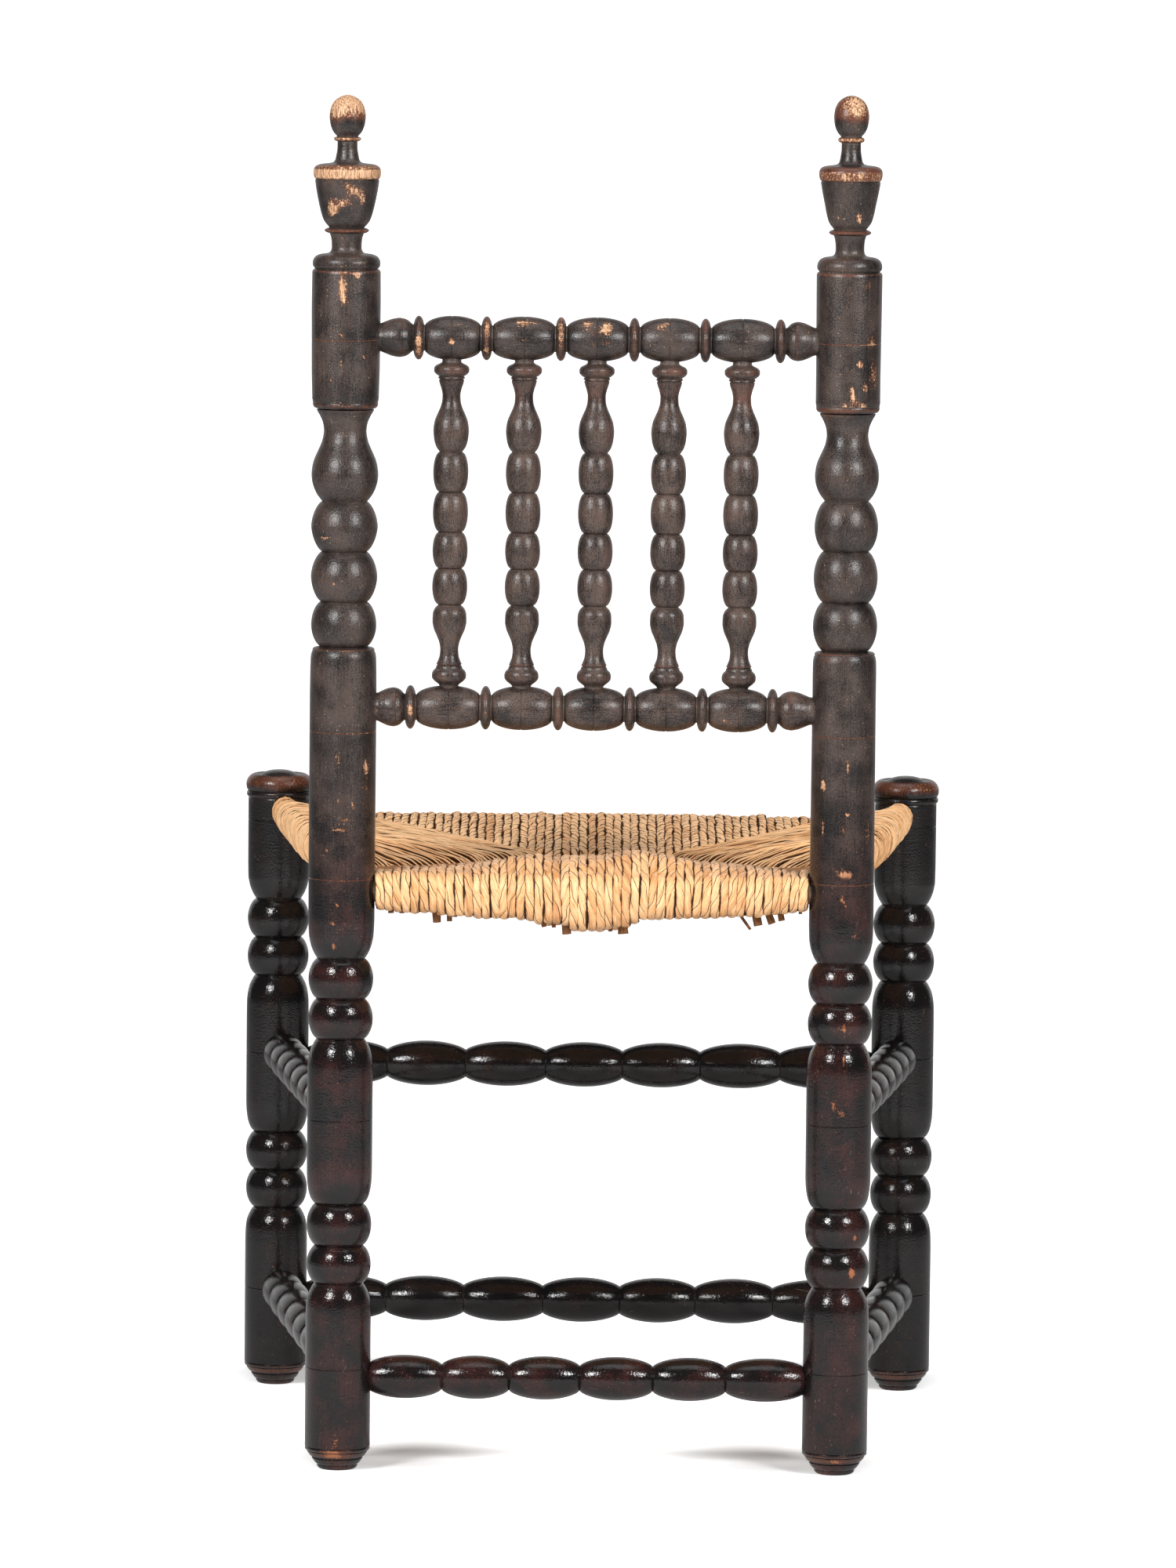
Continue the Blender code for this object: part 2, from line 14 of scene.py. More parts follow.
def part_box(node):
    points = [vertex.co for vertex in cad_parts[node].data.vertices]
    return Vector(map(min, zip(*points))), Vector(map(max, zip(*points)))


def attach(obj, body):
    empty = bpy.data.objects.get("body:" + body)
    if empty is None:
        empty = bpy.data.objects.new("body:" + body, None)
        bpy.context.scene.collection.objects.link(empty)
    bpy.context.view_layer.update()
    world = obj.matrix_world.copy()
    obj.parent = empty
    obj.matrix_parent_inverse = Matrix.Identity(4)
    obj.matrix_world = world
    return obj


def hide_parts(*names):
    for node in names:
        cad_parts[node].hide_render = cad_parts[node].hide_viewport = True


MM = 0.001
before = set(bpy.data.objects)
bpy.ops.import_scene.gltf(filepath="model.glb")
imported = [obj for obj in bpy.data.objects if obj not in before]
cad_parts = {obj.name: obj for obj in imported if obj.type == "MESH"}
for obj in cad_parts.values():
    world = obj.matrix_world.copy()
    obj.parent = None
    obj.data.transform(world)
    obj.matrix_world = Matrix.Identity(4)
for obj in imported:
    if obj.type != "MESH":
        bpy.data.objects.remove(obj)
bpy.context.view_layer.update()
chance = np.random.default_rng(7)

# %% [markdown]
# The members stand where the CAD nodes stand. A post's axis is the middle of its box in
# plan, and a rail's axis is the middle of its box in height, so nothing is measured twice.

# %% Places taken from the CAD boxes
def middle(node):
    low, high = (np.array(corner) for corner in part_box(node))
    return (low + high) / 2


POSTS = {name: middle(name) * (1, 1, 0)
         for name in ("rear_post_left", "rear_post_right", "front_post_left", "front_post_right")}
CREST_HEIGHT = middle("crest_rail")[2]
LOWER_RAIL_HEIGHT = middle("lower_back_rail")[2]
SPINDLES = {"back_spindle_%d" % number: middle("back_spindle_%d" % number)[0] for number in range(1, 6)}
REAR_Y = POSTS["rear_post_left"][1]
FRONT_Y = POSTS["front_post_left"][1]
print("posts at", {name: place.round(4).tolist() for name, place in POSTS.items()})

# %% [markdown]
# Shader sums are easier to read as Python. A Term wraps one socket, and its operators add
# Math nodes; Finish.add makes any other node from its type, its settings and its inputs.

# %% Shader helpers
class Term:
    """One value in a material; sums with it add Math nodes."""

    def __init__(self, finish, socket):
        self.finish = finish
        self.socket = socket

    def _sum(self, operation, first, second):
        return self.finish.add("ShaderNodeMath", {"operation": operation}, {0: first, 1: second})

    def __add__(self, other):
        return self._sum("ADD", self, other)

    __radd__ = __add__

    def __sub__(self, other):
        return self._sum("SUBTRACT", self, other)

    def __rsub__(self, other):
        return self._sum("SUBTRACT", other, self)

    def __mul__(self, other):
        return self._sum("MULTIPLY", self, other)

    __rmul__ = __mul__

    def clipped(self):
        return self.finish.add("ShaderNodeClamp", {}, {0: self})


class Finish:
    """A material under construction."""

    def __init__(self, name):
        self.material = bpy.data.materials.new(name)
        self.material.use_nodes = True
        self.tree = self.material.node_tree
        self.tree.nodes.clear()

    def add(self, kind, settings, inputs, output=0):
        """Make a node: settings first, then each input is a number or another Term."""
        node = self.tree.nodes.new(kind)
        for key, value in settings.items():
            setattr(node, key, value)
        for key, value in inputs.items():
            if isinstance(value, Term):
                self.tree.links.new(value.socket, node.inputs[key])
            else:
                node.inputs[key].default_value = value
        return Term(self, node.outputs[output])

    def attribute(self, name, output):
        return self.add("ShaderNodeAttribute", {"attribute_name": name}, {}, output)

    def stretched(self, vector, scale):
        return self.add("ShaderNodeVectorMath", {"operation": "MULTIPLY"}, {0: vector, 1: scale})

    def noise(self, vector, scale, detail=3.0, roughness=0.55):
        return self.add("ShaderNodeTexNoise", {}, {
            "Vector": vector, "Scale": scale, "Detail": detail, "Roughness": roughness})

    def step(self, value, low, high):
        """A smooth step from 0 below low to 1 above high."""
        return self.add("ShaderNodeMapRange", {"interpolation_type": "SMOOTHSTEP"}, {
            0: value, 1: low, 2: high})

    def mix(self, share, first, second):
        """A colour between two others; plain colours are given as three numbers."""
        first, second = (value if isinstance(value, Term) else (*value, 1) for value in (first, second))
        return self.add("ShaderNodeMix", {"data_type": "RGBA"}, {0: share, 6: first, 7: second}, 2)

    def surface(self, colour, roughness, bumps, **constants):
        """Finish with a Principled shader; bumps are (height, distance in metres) pairs."""
        inputs = {"Base Color": colour, "Roughness": roughness}
        normal = None
        for height, distance in bumps:
            values = {"Height": height, "Distance": distance}
            if normal is not None:
                values["Normal"] = normal
            normal = self.add("ShaderNodeBump", {}, values)
        inputs["Normal"] = normal
        inputs.update({key.replace("_", " "): value for key, value in constants.items()})
        return self.shown(self.add("ShaderNodeBsdfPrincipled", {}, inputs))

    def shown(self, shader):
        """Send a shader to the material's output and hand back the finished material."""
        output = self.tree.nodes.new("ShaderNodeOutputMaterial")
        self.tree.links.new(shader.socket, output.inputs["Surface"])
        return self.material


# %% [markdown]
# Towards the front of the chair less of the brown shows, as painted shade, so the front posts come out
# blacker.
# The whole frame wears one coat of old black-brown paint. Handling has rubbed it through to
# orange wood on ring edges, knobs and corners, with a red-brown halo where it is only thin.
# Each turned piece carries four attributes: wear, how rubbed a place is; thin, the same
# without the chips; hollow, how deep it lies in a groove; and grain, its place along and
# around its own axis, so that streaks follow the wood of every member.

# %% Old paint
BLACK = (0.0060, 0.0056, 0.0058)
POST_BROWN = (0.072, 0.050, 0.042)
HANDLED_BROWN = (0.105, 0.069, 0.055)
LEG_BROWN = (0.036, 0.0125, 0.011)
RED_BROWN = (0.110, 0.040, 0.024)
ORANGE_BROWN = (0.34, 0.11, 0.034)
PALE_WOOD = (0.70, 0.43, 0.255)
DARK_WOOD = (0.23, 0.100, 0.046)
LEG_WOOD = (0.36, 0.135, 0.060)
DUST = (0.20, 0.165, 0.14)
LEG_TOP = 0.40
BACK_START = 0.56


def old_paint(name, back_brown, flake_edge):
    """Black paint rubbed to red-brown and then to wood where wear plus raggedness is high.

    Small flakes are lost where a finer noise is above flake_edge, so a higher edge keeps more.
    """
    finish = Finish(name)
    grain = finish.attribute("grain", 1)
    wear = finish.attribute("wear", 2)
    thin = finish.attribute("thin", 2)
    hollow = finish.attribute("hollow", 2)
    place = finish.add("ShaderNodeTexCoord", {}, {}, 3)
    height = finish.add("ShaderNodeSeparateXYZ", {}, {0: place}, 2)
    # Painted shade: rear runs from 0 at the front posts to 1 at the rear ones.
    rear = finish.step(finish.add("ShaderNodeSeparateXYZ", {}, {0: place}, 1), -0.15, 0.12)
    cloud = finish.noise(grain, 42.0, 3.0)
    ragged = finish.noise(grain, 560.0, 6.0, 0.8)
    grit = finish.noise(grain, 1300.0, 3.0, 0.75)
    fibre = finish.noise(finish.stretched(grain, (1.0, 1.0, 0.05)), 1100.0, 3.0, 0.6)
    turning = finish.noise(finish.stretched(grain, (0.05, 0.05, 1.0)), 1500.0, 2.0)
    crackle = finish.noise(grain, 700.0, 1.0, 0.5)
    flake = finish.noise(grain, 560.0, 4.0, 0.7)
    slanted = finish.add("ShaderNodeVectorRotate", {"rotation_type": "EULER_XYZ"}, {
        "Vector": grain, "Rotation": (0.20, 0.30, 0.0)})
    scratch = finish.noise(finish.stretched(slanted, (1.0, 1.0, 0.07)), 900.0, 0.0)
    satin = finish.step(height, LEG_TOP, BACK_START)
    rubbed = wear + (ragged - 0.5) * (satin * 0.4 + 1.6) + (fibre - 0.5) * 0.3 + (turning - 0.5) * 0.25
    bare = finish.step(rubbed, 0.60, 0.63)
    flakes = finish.step(flake, flake_edge, flake_edge + 0.02) * finish.step(cloud, 0.43, 0.55)
    flakes = flakes * (satin * 0.5 + 0.5)
    bare = (bare + flakes).clipped()
    line = finish.step(scratch, 0.79, 0.82) * finish.step(cloud, 0.50, 0.60) * 0.4
    dusty = hollow * finish.step(ragged + (cloud - 0.5) * 0.6, 0.34, 0.62) * (satin * 0.25 + 0.12)
    wood = finish.mix(finish.step(fibre * 0.75 + ragged * 0.25, 0.40, 0.58), DARK_WOOD, PALE_WOOD)
    wood = finish.mix(satin, LEG_WOOD, wood)
    brown = finish.mix(satin, LEG_BROWN, back_brown)
    worn_thin = cloud * (1.0 - satin * 0.4) + satin * 0.26 + (fibre - 0.5) * 0.4 + (grit - 0.5) * 1.2
    # Painted shade: through rear, less brown shows towards the front, standing for the weaker lamp light
    # there.
    paint = finish.mix(finish.step(worn_thin, 0.40, 0.72) * (rear * 0.8 + 0.2), BLACK, brown)
    handling = thin + (cloud - 0.5) * 0.45 + (fibre - 0.5) * 0.35
    paint = finish.mix(finish.step(handling, 0.15, 0.38) * 0.9, paint, RED_BROWN)
    paint = finish.mix(finish.step(rubbed, 0.50, 0.60), paint, ORANGE_BROWN)
    paint = finish.mix((line + dusty).clipped(), paint, DUST)
    colour = finish.mix(bare, paint, wood)
    roughness = 0.12 + satin * 0.23 + (cloud - 0.5) * 0.15 + (grit - 0.5) * 0.20 + dusty * 0.3 + bare * 0.3
    return finish.surface(
        colour, roughness,
        [(fibre, 0.00005), (turning, 0.00006), (crackle, 0.00018), (bare, -0.00022)],
        Specular_IOR_Level=0.40)


painted = old_paint("black_paint", POST_BROWN, 0.654)
handled = old_paint("black_paint_handled", HANDLED_BROWN, 0.672)
print("old paint has", len(painted.node_tree.nodes), "nodes")

# %% [markdown]
# Each member came off a lathe, so its shape is one profile spun round its axis. A profile is
# drawn through a few points with curves that never overshoot, and points that two curves
# share become the crisp corners a turner leaves. Heights and radii are in millimetres.

# %% Profiles
FINE_STEP = 1.1
LONG_STEP = 4.0
BALL_STEP = 1.3
FEWEST_BALL_RINGS = 12
SCRIBE_HALF = 0.35
SCRIBE_DEPTH = 0.35
SCRIBE_EDGE = 0.1
RUBBED_SCRIBE = 0.42
HOLLOW_STEP = 0.25


def drawn(points, step=FINE_STEP):
    """Height, radius and wear along cubic pieces through the points, flat where they turn back."""
    table = np.array([point if len(point) == 3 else (*point, 0.05) for point in points], float)
    gaps = np.maximum(np.hypot(*np.diff(table[:, :2], axis=0).T), 1e-6)
    reach = np.concatenate([[0], np.cumsum(gaps)])
    slopes = np.diff(table, axis=0) / gaps[:, None]
    before, after = slopes[:-1], slopes[1:]
    agree = before * after > 0
    inner = np.where(agree, 2 * before * after / np.where(agree, before + after, 1), 0)
    tangents = np.vstack([slopes[:1], inner, slopes[-1:]])
    counts = np.cumsum(np.maximum(1, np.ceil(gaps / step).astype(int)))
    spots = np.interp(np.arange(counts[-1] + 1), np.concatenate([[0], counts]), reach)
    span = np.clip(np.searchsorted(reach, spots, "right") - 1, 0, len(gaps) - 1)
    part = ((spots - reach[span]) / gaps[span])[:, None]
    length = gaps[span][:, None]
    return (table[span] * (1 + 2 * part) * (1 - part) ** 2 + table[span + 1] * part ** 2 * (3 - 2 * part)
            + tangents[span] * length * part * (1 - part) ** 2
            + tangents[span + 1] * length * part ** 2 * (part - 1))


def ball(top, bottom, groove, crest, fullness=0.66, wear=0.08):
    """A bead: groove + (crest - groove) * (1 - u^2)^fullness, u from -1 to 1 down its length."""
    count = max(FEWEST_BALL_RINGS, int(abs(top - bottom) / BALL_STEP))
    share = -np.cos(np.linspace(0, math.pi, count))
    height = (top + bottom) / 2 - share * (top - bottom) / 2
    swell = np.maximum(1 - share ** 2, 0) ** fullness
    return np.stack([height, groove + (crest - groove) * swell, wear * swell], 1)


def straight(top, bottom, radius, scribes=(), wear=0.06, scribe_wear=0.06):
    """A plain length with fine scribed lines cut in it, their edges rubbed by scribe_wear."""
    runs = []
    upper = top
    for line in scribes:
        high, low = line + SCRIBE_HALF, line - SCRIBE_HALF
        runs += [drawn([(upper, radius, wear), (high + SCRIBE_EDGE, radius, wear)], LONG_STEP),
                 drawn([(high + SCRIBE_EDGE, radius, wear), (high, radius, scribe_wear)]),
                 drawn([(high, radius, scribe_wear), (line, radius - SCRIBE_DEPTH, scribe_wear),
                        (low, radius, scribe_wear)]),
                 drawn([(low, radius, scribe_wear), (low - SCRIBE_EDGE, radius, wear)])]
        upper = low - SCRIBE_EDGE
    runs.append(drawn([(upper, radius, wear), (bottom, radius, wear)], LONG_STEP))
    return np.vstack(runs)


def scribed(profile, line, depth=0.5, half=0.6):
    """The same profile with one fine line cut in it; profiles here run from high to low."""
    spots = np.array([line + half, line, line - half])
    rising = profile[::-1]
    cut = np.stack([spots, *(np.interp(spots, rising[:, 0], rising[:, column]) for column in (1, 2))], 1)
    cut[1, 1] -= depth
    above, below = profile[profile[:, 0] > line + half], profile[profile[:, 0] < line - half]
    return np.vstack([above, cut, below])


def hollows(profile, reach=3.0, depth=0.9):
    """How far each ring lies under the mean radius within reach of it, 1 at the given depth."""
    length = np.concatenate([[0], np.cumsum(np.hypot(*np.diff(profile[:, :2], axis=0).T))])
    even = np.arange(0, length[-1], HOLLOW_STEP)
    radius = np.interp(even, length, profile[:, 1])
    half = int(reach / HOLLOW_STEP)
    padded = np.pad(radius, half, mode="edge")
    mean = np.convolve(padded, np.full(2 * half + 1, 1 / (2 * half + 1)), "valid")
    return np.clip((np.interp(length, even, mean) - profile[:, 1]) / depth, 0, 1)


def joined(*runs):
    """One profile from runs laid end to end, without the points that two runs share."""
    profile = np.vstack(runs)
    keep = np.concatenate([[True], np.abs(np.diff(profile[:, :2], axis=0)).sum(1) > 1e-4])
    return profile[keep]


# %% [markdown]
# A rear post is a finial, a block for the crest rail, a vase, three balls, a long block for
# the seat and lower back rail, then pairs of balls between the blocks that hold the
# stretchers, and a small foot. Its front twin ends in a flat ring over the seat.

# %% Rear and front post profiles
BLOCK_RADIUS = 25.1
GROOVE_RADIUS = 18.0
LOWER_TURNINGS = (
    ball(394.5, 363.7, GROOVE_RADIUS, 24.7), ball(363.7, 333.0, GROOVE_RADIUS, 24.6),
    drawn([(333.0, 18.2, 0), (331.2, 19.6), (329.0, 20.8), (325.0, 22.7), (318.0, 24.3), (311.0, 24.95),
           (300.0, BLOCK_RADIUS)]),
    straight(300.0, 230.0, BLOCK_RADIUS, (271.0,)),
    drawn([(230.0, BLOCK_RADIUS), (223.0, 24.8), (216.0, 23.9), (212.0, 22.9), (208.8, 21.5),
           (206.4, 19.7), (205.5, 18.2, 0)]),
    ball(205.5, 174.7, GROOVE_RADIUS, 24.9), ball(174.7, 144.0, GROOVE_RADIUS, 24.7),
    drawn([(144.0, 18.2, 0), (142.6, 19.6), (140.6, 20.8), (137.0, 22.6), (132.0, 24.1), (126.0, 24.8),
           (118.0, BLOCK_RADIUS)]),
    straight(118.0, 18.0, BLOCK_RADIUS, (79.0,)),
    drawn([(18.0, BLOCK_RADIUS, 0.15), (17.3, 24.5, 0), (16.6, 25.0, 0.2), (15.4, 24.9, 0.25),
           (14.7, 24.2, 0.2), (14.4, 22.9, 0)]),
    drawn([(14.4, 22.9, 0), (14.0, 23.4, 0.25), (12.6, 22.8, 0.30), (11.2, 21.9, 0.30), (10.2, 21.1, 0.2)]),
    drawn([(10.2, 21.1, 0), (9.8, 18.8, 0), (8.8, 18.6, 0)]),
    drawn([(8.8, 18.6, 0), (8.4, 19.6, 0.15), (6.5, 18.5, 0.15), (4.6, 17.0, 0.2), (3.9, 16.1, 0.1)]),
    drawn([(3.9, 16.1, 0), (3.4, 15.5, 0), (2.4, 15.6, 0.2), (1.2, 15.0, 0.2), (0.4, 14.0, 0.2),
           (0.0, 12.8, 0.2), (0.0, 0.0, 0.3)]),
)


def block_shoulder(radius):
    """The rounding under the block at the seat, down to the first groove."""
    return drawn([(424.0, radius), (412.0, 24.5), (408.5, 23.9), (405.0, 23.1), (401.6, 21.9), (398.2, 20.3),
                  (395.6, 18.7), (394.5, GROOVE_RADIUS, 0)])


REAR_PROFILE = joined(
    drawn([(1056.5, 0.0, 0.52), (1055.9, 3.2, 0.52), (1054.6, 6.2, 0.52), (1052.4, 9.2, 0.52),
           (1049.5, 11.3, 0.50), (1045.5, 12.8, 0.50), (1040.5, 13.4, 0.40), (1035.5, 12.9, 0.20),
           (1031.5, 11.9, 0.10), (1027.8, 10.2, 0.08), (1024.8, 7.8, 0.0)]),
    drawn([(1024.8, 7.8, 0.0), (1024.2, 7.7, 0.0)]),
    drawn([(1024.2, 7.7, 0.1), (1023.4, 9.2, 0.5), (1022.0, 9.9, 0.68), (1020.6, 9.2, 0.5),
           (1019.8, 7.2, 0)]),
    drawn([(1019.8, 7.2, 0.0), (1015.0, 7.3), (1010.5, 8.0, 0.1), (1007.0, 8.8, 0.1), (1005.2, 10.2),
           (1004.5, 13.0), (1004.1, 16.5)]),
    drawn([(1004.1, 16.5, 0.1), (1003.7, 19.4, 0.25), (1002.2, 22.8, 0.40), (1000.4, 24.1, 0.30)]),
    drawn([(1000.4, 24.1, 0.72), (997.4, 24.5, 0.78), (994.4, 24.2, 0.74), (992.9, 23.5, 0.6)]),
    drawn([(992.9, 23.5, 0.0), (992.2, 22.6, 0.0), (991.4, 23.3, 0.1)]),
    drawn([(991.4, 23.3, 0.15), (985.0, 22.4), (980.0, 21.5), (975.0, 20.5), (970.0, 19.4), (966.0, 18.3),
           (962.0, 16.9), (959.4, 15.3), (957.4, 13.6), (955.9, 12.4, 0)]),
    drawn([(955.9, 12.4, 0.0), (955.2, 14.4, 0.20), (953.5, 15.8, 0.42), (951.8, 14.4, 0.22),
           (951.1, 12.2, 0)]),
    drawn([(951.1, 12.2, 0.0), (948.0, 11.4), (944.0, 11.1, 0.12), (939.6, 11.2, 0.1), (937.0, 11.9),
           (935.6, 13.7), (935.1, 16.6)]),
    drawn([(935.1, 16.6, 0.1), (934.7, 19.3, 0.18), (933.3, 22.6, 0.17), (931.0, 24.5, 0.13),
           (928.3, 25.2, 0.10), (926.0, 24.9, 0.15), (924.5, 23.9, 0.1)]),
    drawn([(924.5, 23.9, 0.0), (923.9, 23.2, 0.0), (923.2, 24.2, 0.1)]),
    drawn([(923.2, 24.2, 0.3), (922.5, 25.0, 0.35), (920.5, 25.3, 0.15)]),
    straight(920.5, 823.8, 25.2, (869.5,), scribe_wear=RUBBED_SCRIBE),
    drawn([(823.8, 25.2, 0.1), (823.2, 24.8, 0.0), (822.6, 25.1, 0.2)]),
    drawn([(822.6, 25.1, 0.2), (821.4, 24.6, 0.0), (820.6, 24.9, 0.3), (819.0, 24.6, 0.3), (817.6, 23.6, 0.2),
           (816.9, 22.0, 0.1), (816.7, 19.6, 0.0)]),
    drawn([(816.7, 19.6, 0.0), (816.1, 19.6, 0.0), (816.0, 21.9, 0.2)]),
    drawn([(816.0, 21.9, 0.3), (814.4, 21.2, 0.15), (812.0, 19.7), (809.6, 18.5), (806.6, 17.2),
           (803.0, 16.4), (799.5, 16.1), (796.0, 16.5), (792.0, 17.4), (788.5, 18.8), (785.0, 20.4),
           (781.5, 22.0), (778.0, 23.3), (774.0, 24.2), (769.0, 24.7, 0.15), (763.6, 24.5), (759.6, 23.8),
           (756.0, 22.7), (752.6, 21.1), (749.4, 18.9), (747.5, 17.5, 0)]),
    ball(747.5, 709.9, 17.4, 24.8), ball(709.9, 672.7, 17.4, 24.8), ball(672.7, 635.5, 17.5, 24.8),
    drawn([(635.5, 17.6, 0.0), (635.0, 20.4, 0.1), (634.6, 22.6, 0.2), (633.4, 23.8, 0.3)]),
    drawn([(633.4, 23.8, 0.0), (632.6, 23.5, 0.0), (630.8, 24.3, 0.2), (627.0, 24.9, 0.1), (618.0, 25.1)]),
    straight(618.0, 424.0, BLOCK_RADIUS, (570.0, 457.0), scribe_wear=RUBBED_SCRIBE),
    block_shoulder(BLOCK_RADIUS),
    *LOWER_TURNINGS)
FRONT_BLOCK_RADIUS = 24.8
FRONT_PROFILE = joined(
    drawn([(498.9, 0.0, 0.1), (498.7, 5.0, 0.1), (497.7, 10.0, 0.1), (496.2, 13.4, 0.1),
           (495.0, 15.4, 0.0)]),
    drawn([(495.0, 15.4, 0.0), (494.6, 16.6, 0.0), (494.8, 18.6, 0.0), (495.5, 20.3, 0.1),
           (495.7, 21.1, 0.2)]),
    drawn([(495.7, 21.1, 0.22), (494.9, 22.7, 0.32), (493.0, 24.7, 0.36), (490.5, 26.1, 0.37),
           (488.2, 26.6, 0.32), (485.8, 26.5, 0.24), (483.8, 26.0, 0.14), (482.6, 25.2, 0.1),
           (482.2, 24.5, 0.0)]),
    drawn([(482.2, 24.5, 0.0), (481.8, 25.6, 0.1), (480.6, 26.1, 0.15), (478.7, 26.0, 0.1),
           (477.8, 25.4, 0.1), (477.3, 24.4, 0.0)]),
    drawn([(477.3, 24.4, 0.0), (476.7, FRONT_BLOCK_RADIUS, 0.1), (474.4, FRONT_BLOCK_RADIUS, 0.1)]),
    straight(474.4, 424.0, FRONT_BLOCK_RADIUS, (459.0,)),
    block_shoulder(FRONT_BLOCK_RADIUS),
    *LOWER_TURNINGS)

# %% [markdown]
# The two rear posts were turned by hand and are not quite alike: one is a little stouter,
# and its balls sit lower. Each row gives a height, how far it moves and how much it swells.

# %% How each rear post differs
IMAGE_LEFT_HAND = (
    (1056.5, -2.0, 1.03), (1040.0, -2.3, 1.03), (1024.0, -1.5, 1.05), (1022.0, -0.6, 1.06),
    (1004.0, -1.9, 1.05), (993.0, -1.7, 1.05), (957.0, -2.4, 1.055), (953.5, -1.8, 1.08),
    (940.0, -1.2, 1.02), (928.0, -1.1, 1.025), (920.0, -1.4, 1.035), (896.0, -0.8, 1.044),
    (845.0, -0.5, 1.03), (818.0, -0.6, 1.0), (800.0, -0.5, 1.01), (767.0, -2.4, 1.032),
    (747.5, -2.3, 0.98), (728.7, -2.4, 1.028), (709.9, -2.9, 0.97), (691.0, -2.6, 1.024),
    (672.7, -4.0, 1.0), (654.0, -3.0, 1.005), (635.5, -1.1, 1.0), (600.0, -0.5, 1.015), (424.0, 0.0, 1.01),
    (300.0, 0.0, 1.0), (205.0, 0.0, 1.0), (174.7, -1.5, 1.0), (144.0, 0.0, 1.0), (0.0, 0.0, 1.0))
IMAGE_RIGHT_HAND = (
    (1056.5, 1.4, 1.0), (1040.0, 1.1, 1.0), (1022.0, 2.2, 1.03), (1004.0, 0.5, 1.0), (993.0, 0.5, 0.98),
    (975.0, 0.2, 0.955), (957.0, 0.0, 0.98), (953.0, 0.5, 1.03), (940.0, 0.5, 0.98), (928.0, 0.0, 0.985),
    (920.0, 0.5, 0.995), (896.0, 0.2, 0.99), (845.0, 0.0, 0.976), (818.0, 0.0, 0.976), (800.0, 0.0, 0.985),
    (767.0, 0.3, 0.99), (747.5, 1.7, 0.95), (728.7, 1.2, 0.98), (709.9, 1.1, 0.97), (691.0, 0.3, 0.985),
    (672.7, -0.7, 0.99), (654.0, -0.5, 0.99), (635.5, -0.7, 0.97), (600.0, 0.0, 0.966), (424.0, 0.0, 0.985),
    (394.5, 0.0, 1.0), (0.0, 0.0, 1.0))


def by_hand(profile, hand):
    """The same turning with its heights moved and its radii swelled."""
    rows = np.array(hand)[::-1]
    shift, swell = (np.interp(profile[:, 0], rows[:, 0], rows[:, column]) for column in (1, 2))
    return np.stack([profile[:, 0] + shift, profile[:, 1] * swell, profile[:, 2]], 1)


print("rear post", len(REAR_PROFILE), "rings, front post", len(FRONT_PROFILE), "rings")

# %% [markdown]
# The profile becomes a mesh as a grid of rings and sides. Vertices are origin + way * along
# + radius * (cos a * face + sin a * side), with one vertex closing each end. A screw modifier
# could spin it too, but a grid of our own lets every vertex carry its wear and grain.

# %% Spinning a profile into a mesh
CORNER_ANGLE = math.radians(34)
LEAST_UNROLLED = 8.0
GRAIN_SPREAD = 5


def make_mesh(name, points, faces):
    """A mesh from an array of points and arrays of three- or four-cornered faces."""
    mesh = bpy.data.meshes.new(name)
    corners = np.concatenate([block.ravel() for block in faces]).astype(np.int32)
    sizes = np.concatenate([np.full(len(block), block.shape[1]) for block in faces])
    mesh.vertices.add(len(points))
    mesh.vertices.foreach_set("co", points.astype(np.float32).ravel())
    mesh.loops.add(len(corners))
    mesh.loops.foreach_set("vertex_index", corners)
    mesh.polygons.add(len(sizes))
    mesh.polygons.foreach_set("loop_start", np.concatenate([[0], np.cumsum(sizes)[:-1]]).astype(np.int32))
    mesh.update(calc_edges=True)
    mesh.validate()
    mesh.polygons.foreach_set("use_smooth", np.ones(len(sizes), bool))
    return mesh


def keep_value(mesh, name, values):
    """Store one number or one vector per vertex under a name that a material reads."""
    single = values.ndim == 1
    layer = mesh.attributes.new(name, "FLOAT" if single else "FLOAT_VECTOR", "POINT")
    layer.data.foreach_set("value" if single else "vector", values.astype(np.float32).ravel())


def tube_faces(rings, sides, first=1):
    """Faces of a closed tube: quads between its rings, and a fan to the vertex at each end."""
    grid = first + np.arange(rings * sides).reshape(rings, sides)
    turned_on = np.roll(grid, -1, axis=1)
    quads = np.stack([grid[:-1], grid[1:], turned_on[1:], turned_on[:-1]], -1).reshape(-1, 4)
    start = np.stack([np.full(sides, first - 1), grid[0], turned_on[0]], -1)
    end = np.stack([np.full(sides, first + rings * sides), turned_on[-1], grid[-1]], -1)
    return quads, np.vstack([start, end])


def add_piece(name, mesh, material, replaced=()):
    mesh.materials.append(material)
    piece = bpy.data.objects.new(name, mesh)
    bpy.context.scene.collection.objects.link(piece)
    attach(piece, "root")
    if replaced:
        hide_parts(*replaced)
    return piece


